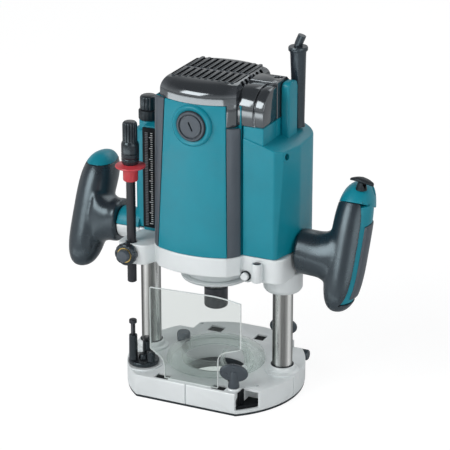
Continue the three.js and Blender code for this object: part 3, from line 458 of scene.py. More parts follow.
# Black nylon of small parts, also used for the rod and rings that paint shade in the guide bore, the column gaps and
# round the lock button.
NYLON_AND_PAINTED_SHADE = surface("black_nylon", (0.014, 0.015, 0.018), 0.5, grain=1200, bump=0.1, tint=COOL)
RED = surface("red_plastic", (0.60, 0.05, 0.065), 0.32)
CAST = surface("cast_metal", (0.79, 0.83, 0.838), 0.42, metallic=0.2, mottle=0.03, grain=900, bump=0.12,
               edge=(0.86, 0.89, 0.9))
# Steel of the columns and inner parts; its base colour carries painted reflection bands.
STEEL = steel_with_painted_reflections("bright_steel")
DARK_STEEL = surface("dark_steel", (0.022, 0.024, 0.03), 0.32, metallic=0.5, mottle=0.08, grain=900, bump=0.06,
                     edge=(0.16, 0.17, 0.19), ior=1.7)
COPPER = surface("copper", (0.55, 0.22, 0.1), 0.35, metallic=1.0)
CARBON = surface("carbon", (0.02, 0.02, 0.021), 0.7)
BRASS = surface("brass", (0.62, 0.45, 0.16), 0.3, metallic=1.0)
CLEAR = clear_surface("clear_plastic", (0.955, 0.97, 0.962), 0.03, 0.85)
SHEET = clear_surface("clear_plastic.sheet", (0.85, 0.868, 0.862), 0.03, 0.85)
# Pale opaque colour for the rim round the shield: a painted edge highlight.
PAINTED_EDGE_HIGHLIGHT = surface("clear_plastic.painted_edge_highlight", (0.80, 0.85, 0.84), 0.25, mottle=0.05)
SATIN = surface("black_plastic.satin", (0.045, 0.05, 0.06), 0.3, grain=900, bump=0.05, tint=COOL, ior=1.7)
MARK = surface("white_mark", (0.75, 0.77, 0.77), 0.5)


def finish(piece, body, material, stands_for=(), sharp=35):
    """Moves a piece from the spindle axis to its place, shades it, and gives it its material and body."""
    piece.data.transform(Matrix.Translation(SPINDLE))
    piece.data.materials.clear()
    piece.data.materials.append(material)
    piece.data.shade_smooth()
    piece.data.set_sharp_from_angle(angle=math.radians(sharp))
    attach(piece, body)
    if stands_for:
        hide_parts(*stands_for)
    return piece


# ------------------------------------------------------------------ motor unit


def taper(x, y, z):
    """The motor unit narrows upwards: its front and rear draw in, its corners hardly do."""
    rise = (min(z, COVER_BASE) - SEAM) / (COVER_BASE - SEAM)
    near = (abs(x) - PANEL_HALF + 2) / (HALF_WIDTH - PANEL_HALF + 2)
    near = max(0.0, min(1.0, near))
    near = near * near * (3 - 2 * near)
    in_x = 0.14 + (0.022 - 0.14) * near
    in_y = 0.15 + (0.04 - 0.15) * near
    return (x * (1 - in_x * rise), y * (1 - in_y * rise), z)


def front_arc(edge, crown, half, count):
    """The shallow arc of the front face, from left to right."""
    rise = crown - edge
    radius = (half * half + rise * rise) / (2 * rise)
    turn = math.degrees(math.asin(half / radius))
    return arc((0, radius - crown), radius, 270 - turn, 270 + turn, count)


def facing_rear(outline):
    return [(x, -y) for x, y in reversed(outline)]


def face_panel(side):
    """A teal face panel with a raised ring round its brush cap."""
    outer = front_arc(PANEL_EDGE, PANEL_CROWN, PANEL_HALF, 24)
    inner = front_arc(PANEL_EDGE - PANEL_THICK, PANEL_CROWN - PANEL_THICK, PANEL_HALF, 24)
    outline = outer + list(reversed(inner))
    if side > 0:
        outline = facing_rear(outline)
    name = "front_face" if side < 0 else "rear_face"
    panel = soften(prism(name, outline, SEAM, PANEL_TOP, 12, taper), 0.5, 3, 50)
    lip = BRUSH_CAP + 1.2
    ring = [(lip - 2, 0), (lip + 4.6, 0), (lip + 4.6, 1.6), (lip + 3.8, 3.2), (lip + 2.6, 3.9), (lip + 1.4, 3.7)]
    ring += [(lip, 2.6), (lip - 2, 2.0)]
    place = along((0, side * 46.0, BRUSH), (0, side * 60, BRUSH))
    join(panel, turned("ring", ring, place, 72))
    cut(panel, rod("hole", (0, side * 30, BRUSH), (0, side * 60, BRUSH), BRUSH_CAP + 0.9, steps=72))
    node = "front_panel" if side < 0 else "rear_panel"
    finish(panel, "carriage", TEAL, [node])

def brush_cap(side):
    """A round cap with a stepped rim and a driver slot."""
    face = 50.6
    rim = BRUSH_CAP
    profile = [(0, 0), (rim, 0), (rim, 4.0), (rim - 0.5, 4.5), (rim - 1.6, 4.5), (rim - 1.8, 2.8), (rim - 2.9, 2.8),
               (rim - 3.1, 4.2), (rim - 3.5, 4.5), (0, 4.5)]
    place = along((0, side * (face - 4.5), BRUSH), (0, side * face, BRUSH))
    cap = turned("front_cap" if side < 0 else "rear_cap", profile, place, 72)
    slot = block("slot", (-0.75, 0.75), (-8, 8), (-4.2, 4.2))
    slot.data.transform(Matrix.Translation((0, side * face * MM, BRUSH * MM)) @ Matrix.Rotation(side * 0.45, 4, "Y"))
    cut(cap, slot)
    node = "brush_cap_front" if side < 0 else "brush_cap_rear"
    body = "front_brush_cap" if side < 0 else "rear_brush_cap"
    finish(cap, body, GREY, [node])
    seal = turned(
        "front_seal" if side < 0 else "rear_seal",
        [(rim + 0.1, 0), (rim + 0.85, 0), (rim + 0.85, 3.0), (rim + 0.1, 3.0)],
        place,
        72,
    )
    finish(seal, "carriage", NYLON_AND_PAINTED_SHADE)

def corner_strip(side_x, side_y, node):
    """The rounded grey strip that covers a corner of the motor unit."""
    outline = [(PANEL_HALF + 0.5, PANEL_EDGE - 0.2), (PANEL_HALF + 4.6, PANEL_EDGE - 3.4), (HALF_WIDTH, 38.4),
               (HALF_WIDTH, 36.3), (PANEL_HALF + 0.5, PANEL_EDGE - 3)]
    outline = rounded(outline, [0.8, 3.0, 0.6, 0, 0])
    outline = [(x * side_x, y * side_y) for x, y in outline]
    strip = prism(node.replace("corner_strip", "strip"), outline, SEAM, span(node)[1].z, 12, taper)
    finish(soften(strip, 0.35, 2, 50), "carriage", GREY, [node])


def motor_sides():
    """The flat teal sides of the motor unit, either side of its shell."""
    wall = [(35.5, -34), (HALF_WIDTH, -36), (HALF_WIDTH, 36), (35.5, 34)]
    for side in (-1, 1):
        outline = [(x * side, y) for x, y in wall]
        side_wall = prism("side_wall_left" if side < 0 else "side_wall_right", outline, SEAM, PANEL_TOP, 12, taper)
        if side > 0:
            cut(side_wall, block("leg_room", (30, 60), (-60, -31), (HUMP_BASE - 2.2, 300)))
        finish(soften(side_wall, 0.6), "carriage", TEAL)


# ------------------------------------------------------------------ top cover

RIBS = 10
RIB_FIRST = -27.6
RIB_PITCH = 6.15


def cover_ring(z, draw):
    """The plan of the cover at one height, drawn in from all sides, and more at the front than at the rear."""
    half_x = HALF_WIDTH * 0.93
    corner = 38.0
    front = front_arc(PANEL_EDGE, PANEL_CROWN, PANEL_HALF * 0.98, 18)
    half = [(-half_x, -corner)] + front + [(half_x, -corner)]
    ring = half + [(x, -y) for x, y in reversed(half)]
    ring = [taper(x, y, z) for x, y in ring]
    return [(x * (0.985 - 0.15 * draw), y * (0.99 - (0.42 if y < 0 else 0.26) * draw), z) for x, y, _ in ring]

def roof_ribs():
    """The long ribs over the vent in the roof, in two rows on either side of a cross bar."""
    ribs_found = []
    for i in range(RIBS):
        x = RIB_FIRST + i * RIB_PITCH
        for near, far in ((-27.4, 0.6), (2.4, 33.6)):
            outline = rounded([(x - 1.7, near), (x + 1.7, near), (x + 1.7, far), (x - 1.7, far)], 1.5, 4)
            ribs_found.append(soften(prism("rib", outline, ROOF - 5, ROOF + 0.35), 0.6, 2))
    bar = block("bar", (RIB_FIRST - 3, RIB_FIRST + RIBS * RIB_PITCH), (0.3, 2.7), (ROOF - 5, ROOF - 0.1))
    merge(bar, ribs_found)
    bar.name = "roof_ribs"
    finish(bar, "carriage", BLACK)


def hump_profile(shrink):
    """The side view of the front hump, rounded at its front, as (y, z) points."""
    reach_y, reach_z = HUMP_ROUND
    top = ROOF - 3.5 - shrink
    front = HUMP_FRONT + shrink
    profile = [(-6.0, HUMP_BASE), (-6.0, top)]
    for i in range(17):
        angle = math.radians(90 + 90 * i / 16)
        profile.append((front + reach_y * (1 + math.cos(angle)), top - reach_z * (1 - math.sin(angle))))
    return profile + [(front, HUMP_BASE)]

def front_hump():
    """The rounded block right of the roof, in two segments with a groove between them."""
    left = soften(across("segment", hump_profile(0), 33.5, HUMP_SPLIT - 0.4), 0.8)
    right = soften(across("segment", hump_profile(0.5), HUMP_SPLIT + 0.4, HUMP_RIGHT), 1.4)
    core = across("hump_core", hump_profile(1.5), 34.5, HUMP_RIGHT - 1.5)
    merge(core, [left, right])
    return core

def top_cover():
    """The glossy black cap of the motor unit with its vent and the humps on its right."""
    rings = [cover_ring(COVER_BASE + rise, 0) for rise in (0, 2.5, 5.0)]
    start = COVER_BASE + 5.8
    for i in range(15):
        climb = math.sin(math.radians(90 * i / 14))
        draw = 1 - math.cos(math.radians(90 * i / 14))
        rings.append(cover_ring(start + (ROOF - start) * climb, 0.003 + 0.997 * draw))
    cover = loft("motor_cover", rings)
    vent = rounded([(RIB_FIRST - 3.4, -25.2), (30.6, -25.2), (30.6, 32.4), (RIB_FIRST - 3.4, 32.4)], 4)
    cut(cover, prism("vent", vent, ROOF - 5.5, ROOF + 5))
    for i in range(6):
        y = -20 + i * 7.6
        cut(cover, block("slot", (32.2, 36.5), (y, y + 4.4), (ROOF - 6, ROOF + 3)))
    finish(cover, "carriage", GLOSS, ["top_cover"], 40)
    roof_ribs()
    finish(front_hump(), "carriage", GLOSS)
    rear = [(-5.2, HUMP_BASE), (23.2, HUMP_BASE), (23.2, 283), (15.2, ROOF - 1.5), (-5.2, ROOF - 1.5)]
    rear_hump = across("rear_hump", rear, 34.5, HUMP_RIGHT)
    cut(rear_hump, turned("dish", [(0, -2), (3.6, -2), (3.6, 6), (0, 6)], at(54.5, 10, ROOF - 2), 32))
    finish(soften(rear_hump, 0.8), "carriage", GLOSS)
    heights = [HUMP_BASE - 1.7, HUMP_BASE + 4, HUMP_BASE + 10, COVER_BASE + 1]
    corner = loft("cover_leg", [cover_ring(z, 0) for z in heights])
    common(corner, block("corner", (29.0, 60), (-60, -31), (200, 300)))
    finish(soften(corner, 0.4, 2, 50), "carriage", GLOSS)

# ------------------------------------------------------------------ switch box


def box_outline(rise):
    """The plan of the box; its front right chamfer grows from the bottom to the top."""
    right, front, rear = BOX_RIGHT, BOX_FRONT, BOX_REAR
    chamfer = (73.6 + 3.4 * rise, front + 2.6 + 3.9 * rise)
    outline = [(BOX_LEFT, front), (71.0, front), chamfer, (right, -2), (right - 0.8, 24), (right - 3, 34),
               (right - 11, 43), (right - 30, rear), (BOX_LEFT, rear)]
    return rounded(outline, [0, 1.6, 1.2, 2.5, 6, 6, 8, 8, 0])

def box_roof(x):
    return BOX_TOP - BOX_FALL * (x - BOX_LEFT)


def switch_box():
    """The teal box on the right side that carries the switch, with the foot of the humps and the fin."""
    rings = []
    for z, rise in ((SEAM, 0), (SEAM + 20, 0.1), (225, 1)):
        rings.append([(x, y, z) for x, y in box_outline(rise)])
    rings.append([(x, y, box_roof(x)) for x, y in box_outline(1)])
    box = soften(loft("box", rings), 1.5, 4, 40)
    foot = soften(block("foot", (BOX_LEFT, HUMP_RIGHT), (HUMP_FRONT, -6.2), (236, HUMP_BASE - 0.3)), 0.8)
    rear_foot = soften(block("foot", (BOX_LEFT, HUMP_RIGHT), (-6.2, 23.2), (236, HUMP_BASE - 0.3)), 0.8)
    fin_x = (HUMP_RIGHT + 0.3, HUMP_RIGHT + 8.1)
    profile = [(1, 236), (19.5, 236), (19.5, 282), (17.5, 286.5), (13, 287.5), (4.5, 287.5), (1.8, 286), (1, 283)]
    fin = soften(across("fin", profile, *fin_x), 1.5)
    join(box, foot, rear_foot, fin)
    well_start, well_end = Vector(BOX_SCREW), Vector(BOX_SCREW) + Vector((6, -1.4, 0.6))
    rim = turned("rim", [(2.9, 0), (4.1, 0), (4.1, 4.3), (3.7, 4.7), (2.9, 4.7)], along(well_start, well_end), 32)
    cut(box, rod("well", well_start, well_end + (well_end - well_start), 3.1, steps=32))
    join(box, rim)
    cut(box, rod("dent", (72, 42.2, 209), (86, 32.2, 209), 3.0, steps=24))
    finish(box, "carriage", TEAL, ["switch_box"], 40)
    screw = turned("box_screw", [(0, 0), (2.6, 0), (2.6, 1.2), (1.9, 1.7), (0, 1.8)], along(well_start, well_end), 24)
    finish(screw, "carriage", NYLON_AND_PAINTED_SHADE)

def cord_parts():
    """The tall cord guard with its collar, and the cut end of the cord."""
    low, high = span("cord_guard")
    foot = Vector((65.6, 28.6, low.z))
    crown = Vector((64.4, 28.3, high.z))
    length = (crown - foot).length
    profile = [(3.8, 0), (5.8, 0), (5.3, 3), (5.2, 6), (6.9, length - 7), (7.2, length - 4), (8.3, length - 3.6),
               (8.5, length - 2.9), (8.5, length - 0.8), (8.0, length), (3.9, length)]
    guard = turned("guard", profile, along(foot, crown), 48)
    finish(guard, "carriage", RUBBER, ["cord_guard"])
    top = span("power_cord")[1].z
    bend = bpy.data.curves.new("cord", "CURVE")
    bend.dimensions = "3D"
    bend.bevel_depth = 3.6 * MM
    bend.bevel_resolution = 6
    bend.use_fill_caps = True
    line = bend.splines.new("BEZIER")
    line.bezier_points.add(2)
    places = [foot, crown, Vector((67.8, 29, top - 0.5))]
    for point, place in zip(line.bezier_points, places):
        point.co = place * MM
        point.handle_left_type = "AUTO"
        point.handle_right_type = "AUTO"
    cord = bpy.data.objects.new("cord_curve", bend)
    bpy.context.collection.objects.link(cord)
    mesh = bpy.data.meshes.new_from_object(cord.evaluated_get(bpy.context.evaluated_depsgraph_get()))
    bpy.data.objects.remove(cord)
    piece = bpy.data.objects.new("cord", mesh)
    bpy.context.collection.objects.link(piece)
    finish(piece, "carriage", RUBBER, ["power_cord"])


# ------------------------------------------------------------------ left column housing


def column_housing():
    """The teal tube over the left column, with the web that carries the scale."""
    top = span("column_housing_left")[1].z
    radius = 11.6
    tube = rod("left_housing", (-COLUMN_X, 0, SEAM), (-COLUMN_X, 0, top - 7.5), radius, chamfer=1.2, steps=64)
    neck = rod("neck", (-COLUMN_X, 0, top - 9), (-COLUMN_X, 0, top), 8.6, chamfer=0.8, steps=64)
    web = block("web", (span("scale_plate")[0].x - 0.4, -41.8), (-16.3, 12), (SEAM, span("scale_plate")[1].z + 1))
    boss = rod("boss", (-70, 0, ARM_HEIGHT), (span("column_housing_left")[0].x, 0, ARM_HEIGHT), 14, steps=64)
    cut(boss, block("under", (-110, -50), (-30, 30), (100, SEAM)))
    join(tube, neck, web, boss)
    finish(soften(tube, 0.6), "carriage", TEAL, ["column_housing_left"])


def scale_parts():
    """The black scale with its graduations, and a dark rack beside it."""
    low, high = span("scale_plate")
    plate = block("scale", (low.x, high.x), (low.y, high.y), (low.z, high.z))
    finish(soften(plate, 0.3, 2), "carriage", MATT_AND_PAINTED_SHADE, ["scale_plate"])
    marks = []
    for i in range(int((high.z - low.z - 6) / 2)):
        reach = 5.4 if i % 5 == 0 else 3.9
        z = low.z + 4 + i * 2
        marks.append(block("mark", (high.x - reach, high.x - 2.0), (low.y - 0.12, low.y + 0.1), (z - 0.3, z + 0.3)))
    whole = marks.pop(0)
    merge(whole, marks)
    whole.name = "scale_marks"
    finish(whole, "carriage", MARK)
    teeth = []
    for i in range(int((high.z - low.z - 4) / 1.5)):
        z = low.z + 2 + i * 1.5
        teeth.append(block("tooth", (high.x - 9.4, high.x - 6.6), (low.y - 0.35, low.y + 0.1), (z, z + 0.8)))
    rack = teeth.pop(0)
    merge(rack, teeth)
    rack.name = "scale_rack"
    finish(rack, "carriage", DARK_STEEL)


def merge(piece, others):
    """Puts separate small solids into one piece without cutting them."""
    work = bmesh.new()
    work.from_mesh(piece.data)
    for other in others:
        work.from_mesh(other.data)
        bpy.data.objects.remove(other)
    work.to_mesh(piece.data)
    work.free()
    return piece


# ------------------------------------------------------------------ handles


def grip_line(z):
    return GRIP_LEAN * (z - ARM_HEIGHT)


def grip_body(name, low, high, grow=0.0, bulge=0.0):
    """The leaning grip: an oval column with blunt ends, growing rearwards below its cap."""
    half = (high - low) / 2 + grow
    centre = (high + low) / 2
    rings = []
    count = 44
    for i in range(1, count):
        t = -math.cos(math.pi * i / count)
        full = (1 - abs(t) ** 3.6) ** (1 / 2.6)
        z = centre + half * t
        rise = max(0.0, min(1.0, (z - 148) / 30))
        rise = rise * rise * (3 - 2 * rise)
        ring = []
        for k in range(56):
            angle = 2 * math.pi * k / 56
            half_y = GRIP_HALF_Y + grow + (bulge * rise if math.sin(angle) > 0 else 0)
            x = GRIP_X + (GRIP_HALF_X + grow) * full * math.cos(angle)
            ring.append((x, grip_line(z) + half_y * full * math.sin(angle), z))
        rings.append(ring)
    return loft(name, rings)


def neck(name, start, tall_scale=1.0, corner=1.0):
    """The arm, flaring into the grip; a corner power under one makes it squarer."""
    stations = [(start, 20.0, 0.3), (start + 6, 19.8, 0.3), (97, 19.3, 0), (103, 19.6, 0), (108, 22, 0),
                (112, 26, 0), (117, 31, 0)]
    rings = []
    for x, tall, lift in stations:
        tall = tall * tall_scale
        wide = min(tall, 18.8)
        ring = []
        for k in range(48):
            angle = 2 * math.pi * k / 48
            sine, cosine = math.sin(angle), math.cos(angle)
            up = math.copysign(abs(sine) ** corner, sine)
            out = math.copysign(abs(cosine) ** corner, cosine)
            z = ARM_HEIGHT + lift + tall * up
            ring.append((x, wide * out * 0.98 + grip_line(z) * (x - start) / 60, z))
        rings.append(ring)
    return loft(name, rings)


def above_split(height):
    """The space above a plane square to the grip."""
    lid = block("lid", (60, 190), (-60, 60), (0, 80))
    turn = Matrix.Rotation(-math.atan(GRIP_LEAN), 4, "X")
    lid.data.transform(Matrix.Translation((0, grip_line(height) * MM, height * MM)) @ turn)
    return lid


def slot_prism(front, rear, inner, low, high):
    """The space on the outer side of the grip between two lines that follow its lean."""
    outline = [(inner, front), (40, front), (40, rear), (inner, rear)]
    return prism("slot", outline, low, high, 2, lambda u, v, z: (GRIP_X + u, v + grip_line(z), z))


def grip_solid(name, low, high, start, bulge, tall_scale, corner):
    whole = join(grip_body(name, low, high, 0.7, bulge), neck("neck", start, tall_scale, corner))
    melt(whole, 1.3, 14)
    cut(whole, block("flat", (start - 20, start), (-60, 60), (60, 200)))
    return whole


def right_handle():
    low, high = span("handle_right")[0].z, span("handle_right_cap")[1].z
    whole = grip_solid("right_grip", low, high, BOX_RIGHT + 0.3, 0, 1.0, 1.0)
    cut(whole, above_split(182))
    cut(whole, slot_prism(SLOT_FRONT, 13, 4, 106, 300))
    cap = common(grip_body("right_cap", low, high, 0.5, REAR_BULGE), above_split(182.3))
    screw_place = along((131, 31.5, 190), (142, 37, 191))
    cut(cap, turned("hole", [(0, 0), (4.2, 0), (4.2, 20), (0, 20)], screw_place, 32))
    bridge = common(grip_body("bridge", low, high, 0.3), slot_prism(SLOT_FRONT + 0.3, 12.7, 4.3, TRIGGER_TOP + 1, 184))
    spine = common(grip_body("right_spine", low, high, -0.5), slot_prism(SLOT_FRONT + 0.3, 12.7, 4.3, 106.5, 175))
    join(spine, bridge)
    finish(soften(whole, 0.5, 2, 50), "carriage", RUBBER, ["handle_right"], 50)
    finish(soften(cap, 0.7, 3, 50), "carriage", TEAL, ["handle_right_cap"], 50)
    finish(spine, "carriage", TEAL)
    plug = turned("cap_screw", [(0, 0.5), (4.1, 0.5), (4.1, 2.5), (0, 2.5)], screw_place, 24)
    finish(plug, "carriage", NYLON_AND_PAINTED_SHADE)
    strip = common(grip_body("trigger_strip", low, high, 1.3), slot_prism(TRIGGER_FRONT, 12.4, 11.0, 110, TRIGGER_TOP))
    finish(soften(strip, 0.8, 3, 50), "trigger", GREY, ["switch_trigger"], 50)


def left_handle():
    low, high = span("handle_left")[0].z, span("handle_left_cap")[1].z
    start = -span("handle_left")[1].x
    whole = grip_solid("left_grip", low, high, start, REAR_BULGE, 0.93, 0.72)
    split = span("handle_left_cap")[0].z
    cap = common(copy_of(whole, "left_cap"), block("above", (90, 160), (-60, 90), (split, 220)))
    cut(whole, block("above", (90, 160), (-60, 90), (split - 0.3, 220)))
    finish(soften(mirrored(whole), 0.5, 2, 50), "carriage", RUBBER, ["handle_left"], 50)
    finish(soften(mirrored(cap), 0.5, 2, 50), "carriage", TEAL, ["handle_left_cap"], 50)


def lock_off():
    """The black lever on the right cap: a wing that droops at both ends, on a stem."""
    low, high = span("lock_off_lever")
    centre = (low + high) / 2
    rings = []
    for i in range(17):
        t = -1 + i / 8
        half = 4.6 * math.sqrt(max(0.06, 1 - 0.9 * t * t))
        lift = high.z - 2.6 - 1.3 * t - 1.9 * t * t
        ring = []
        for k in range(20):
            angle = 2 * math.pi * k / 20
            thick = 2.3 + 0.4 * t - 1.0 * abs(t)
            ring.append((centre.x + 10.6 * t, centre.y + half * math.cos(angle), lift + thick * math.sin(angle)))
        rings.append(ring)
    wing = loft("lock_off", rings)
    stem = rod("stem", (centre.x, centre.y, low.z), (centre.x, centre.y, high.z - 2.2), 3.1, 3.6)
    foot = rod("foot", (centre.x - 0.5, centre.y, low.z + 1), (centre.x, centre.y, high.z - 4.5), 5.2, 3.4)
    finish(soften(join(wing, stem, foot), 0.5, 2, 50), "lock_off", NYLON_AND_PAINTED_SHADE, ["lock_off_lever"], 50)


# ------------------------------------------------------------------ gear housing


def gear_housing():
    """The pale cast housing under the motor unit, with the two column sleeves."""
    top = SEAM - 0.3
    body_bottom = 122.0
    front = front_arc(PANEL_EDGE, PANEL_CROWN, PANEL_HALF, 18)
    half = [(-HALF_WIDTH, -38)] + front + [(HALF_WIDTH, -38)]
    plan = half + facing_rear(half)
    housing = prism("gear_case", plan, body_bottom, top)
    right_wing = rounded([(38, -34), (73, -34), (79, -28), (79.5, 20), (66, 36), (38, 38)], 5)
    left_wing = rounded([(-38, 18), (-76, 13), (-79, 8), (-79, -8), (-76, -13), (-38, -14)], 3)
    rod_arm = rounded([(-38, -8), (-66, -14), (-72, -38), (-72, -47), (-69, -52), (-50, -52), (-44, -50), (-38, -34)], 3)
    cup_x = COLUMN_X
    low = span("gear_housing")[0].z
    join(
        housing,
        prism("wing", right_wing, body_bottom - 5, top),
        prism("wing", left_wing, body_bottom, top),
        prism("arm", rod_arm, body_bottom - 0.5, top),
        turned("bell", [(0, 105.3), (26.5, 105.3), (27.5, 111), (31, 116), (46, body_bottom + 1), (0, body_bottom + 1)]),
        rod("cup", (cup_x, 0, low), (cup_x, 0, low + 3), 15.4, 17.4),
        rod("cup", (cup_x, 0, low + 2.9), (cup_x, 0, body_bottom - 3), 17.4),
        rod("sleeve", (-cup_x, 0, 118), (-cup_x, 0, body_bottom + 2), 10.6),
        rod("boss", (-70, 0, ARM_HEIGHT), (span("gear_housing")[0].x, 0, ARM_HEIGHT), 14.2),
        rod("sleeve", (45, -34, 121.5), (45, -12, 121.5), 6.7),
    )
    cut(
        housing,
        block("over", (-120, 120), (-80, 80), (top, top + 30)),
        rod("bore", (0, 0, 90), (0, 0, 130), 12.3),
        rod("bore", (ROD_X, ROD_Y, 100), (ROD_X, ROD_Y, 160), 4.7),
        rod("bore", (cup_x, 0, 80), (cup_x, 0, 150), COLUMN_RADIUS + 0.9),
        rod("bore", (-cup_x, 0, 80), (-cup_x, 0, 150), COLUMN_RADIUS + 0.9),
    )
    melt(housing, 0.7, 4)
    cut(housing, rod("bore", (45, -60, 121.5), (45, -20, 121.5), 4.4))
    finish(housing, "carriage", CAST, ["gear_housing"], 60)
    post = rod("screw_post", (56.8, -37.4, 118.8), (56.8, -37.4, 136), 4.7, chamfer=0.5)
    cut(post, rod("well", (56.8, -37.4, 134.9), (56.8, -37.4, 140), 3.7, steps=32))
    finish(soften(post, 0.3, 2), "carriage", CAST)
    screw = turned("post_screw", [(0, 134.9), (3.4, 134.9), (3.4, 135.6), (2.7, 136.0), (0, 136.0)], at(56.8, -37.4), 32)
    finish(screw, "carriage", DARK_STEEL)
    # A dark ring round the spindle lock button: painted shade for the gap round it.
    seal = turned("button_gap_shade", [(3.6, 0), (4.6, 0), (4.6, 2.4), (3.6, 2.4)], along((45, -35.6, 121.5), (45, 0, 121.5)), 48)
    finish(seal, "carriage", NYLON_AND_PAINTED_SHADE)


def bearing_cover():
    low, high = span("bearing_cover")
    profile = [(12.6, low.z), (28, low.z), (30.2, low.z + 0.6), (31.2, high.z - 1), (31, high.z), (12.6, high.z)]
    cover = turned("nose_plate", profile, steps=96)
    for k in range(3):
        angle = math.radians(50 + 120 * k)
        x, y = 23 * math.cos(angle), 23 * math.sin(angle)
        cut(cover, rod("screw", (x, y, low.z - 2), (x, y, low.z + 1.2), 2.6, steps=20))
    finish(soften(cover, 0.4, 2), "carriage", CAST, ["bearing_cover"])
    for k in range(3):
        angle = math.radians(50 + 120 * k)
        x, y = 23 * math.cos(angle), 23 * math.sin(angle)
        head = turned(f"nose_screw_{k + 1}", [(0, 0), (2.2, 0), (2.2, 1.0), (0, 1.0)], at(x, y, low.z + 0.15), 20)
        finish(soften(head, 0.2, 2), "carriage", DARK_STEEL)


def column(side, node):
    low, high = span(node)
    tube = turned(node.replace("column", "post"), [(0, low.z), (COLUMN_RADIUS, low.z), (COLUMN_RADIUS, high.z - 1),
                  (COLUMN_RADIUS - 1, high.z), (6.2, high.z), (6.2, high.z - 60), (0, high.z - 60)],
                  at(side * COLUMN_X, 0), 96)
    finish(tube, "base", STEEL, [node])


def small_metal_parts():
    """The collet nut and the spindle lock button."""
    low, high = span("collet_nut")
    radius = (high.x - low.x) / 2
    profile = [(6.2, low.z + 5), (6.2, low.z), (radius - 1.6, low.z), (radius - 0.3, low.z + 0.9), (radius, low.z + 2),
               (radius, high.z - 1), (radius - 1, high.z), (7.2, high.z), (7.2, low.z + 5)]
    finish(turned("nut", profile, steps=72), "spindle", DARK_STEEL, ["collet_nut"])
    place = middle("spindle_lock_button")
    front = span("spindle_lock_button")[0].y
    button = turned("lock_button", [(0, 0), (2.9, 0), (3.5, 0.6), (3.5, 20), (0, 20)],
                    along((place.x, front, place.z), (place.x, 0, place.z)), 48)
    finish(button, "shaft_lock", CAST, ["spindle_lock_button"])


# ------------------------------------------------------------------ depth stop


def ribs(count, depth, low, high):
    """A ripple that cuts fine grooves round a knob between two heights."""

    def reach(angle, radius, height):
        if radius < 1 or height < low or height > high:
            return radius
        wave = abs(math.cos(count * angle / 2))
        return radius - depth * (1 - wave) ** 2

    return reach


def stop_rod():
    low, high = span("stop_rod")
    radius = (high.x - low.x) / 2
    profile = [(0, low.z), (radius - 0.8, low.z), (radius, low.z + 0.8)]
    pitch = 1.5
    turns = int((high.z - low.z - 3) / pitch)
    for i in range(turns):
        z = low.z + 1.2 + i * pitch
        profile += [(radius, z), (radius - 0.45, z + pitch * 0.5)]
    profile += [(radius, high.z - 0.8), (0, high.z)]
    finish(turned("threaded_rod", profile, at(ROD_X, ROD_Y), 32), "depth_rod", DARK_STEEL, ["stop_rod"], 80)


def stop_knob():
    low, high = span("stop_knob")
    z = low.z
    profile = [(4.35, z), (6.9, z), (7.4, z + 1.0), (7.8, z + 4.4), (7.3, z + 4.9), (7.3, z + 5.4), (7.8, z + 5.9),
               (7.8, z + 9.2), (7.3, z + 9.6), (7.3, z + 10.1), (7.8, z + 10.5), (7.8, z + 17.5), (7.2, z + 19.5),
               (6.5, z + 20.3)]
    profile += [(6.5, z + 21), (6.5, high.z - 2.4), (6.0, high.z - 0.9), (5.0, high.z), (0, high.z)]
    profile = [(0, z + 0.0)] + profile[1:]
    knob = turned("depth_knob_turned", profile, at(ROD_X, ROD_Y), 96, ribs(14, 1.0, z + 20.6, high.z - 0.6))
    finish(knob, "depth_knob", BLACK, ["stop_knob"], 50)


def depth_pointer():
    low, high = span("depth_pointer")
    z = low.z
    profile = [(4.4, z), (6.1, z), (6.6, z + 0.8), (6.6, z + 11), (8.4, z + 11.9), (13.0, z + 12.5), (13.4, z + 13.2),
               (13.0, z + 14.0), (8.6, z + 14.3), (6.9, high.z), (4.4, high.z)]
    sleeve = turned("red_pointer", profile, at(ROD_X, ROD_Y), 96, ribs(10, 0.5, z + 0.4, z + 9))
    finish(sleeve, "pointer", RED, ["depth_pointer"], 50)


def clamp_parts():
    """The rod clamp: a round nut with flats, a brass ring and the domed feed button."""
    back, front = span("clamp_nut")[1].y, span("clamp_nut")[0].y
    length = back - front
    place = along((ROD_X, back, CLAMP_HEIGHT), (ROD_X, front, CLAMP_HEIGHT))
    profile = [(0, 0), (9.4, 0), (10, 0.8), (10, length - 1.6), (9.2, length - 0.3), (8.4, length), (7.2, length),
               (7.0, length - 0.8), (0, length - 0.8)]
    nut = turned("clamp", profile, place, 72, ribs(8, 0.7, -1, length + 1))
    finish(nut, "rod_clamp", BLACK, ["clamp_nut"], 50)
    ring = turned("brass_ring", [(5.9, length - 0.9), (6.9, length - 0.9), (6.9, length - 0.1), (5.9, length - 0.1)],
                  place, 48)
    finish(ring, "rod_clamp", BRASS)
    tip = span("fast_feed_button")[0].y
    reach = back - tip
    button = turned("feed_knob", [(0, length - 2), (5.6, length - 2), (5.8, length + 0.6), (5.6, reach - 1.8),
                    (4.8, reach - 0.6), (3.2, reach - 0.1), (0, reach)], place, 48)
    finish(button, "feed_button", GREY, ["fast_feed_button"])


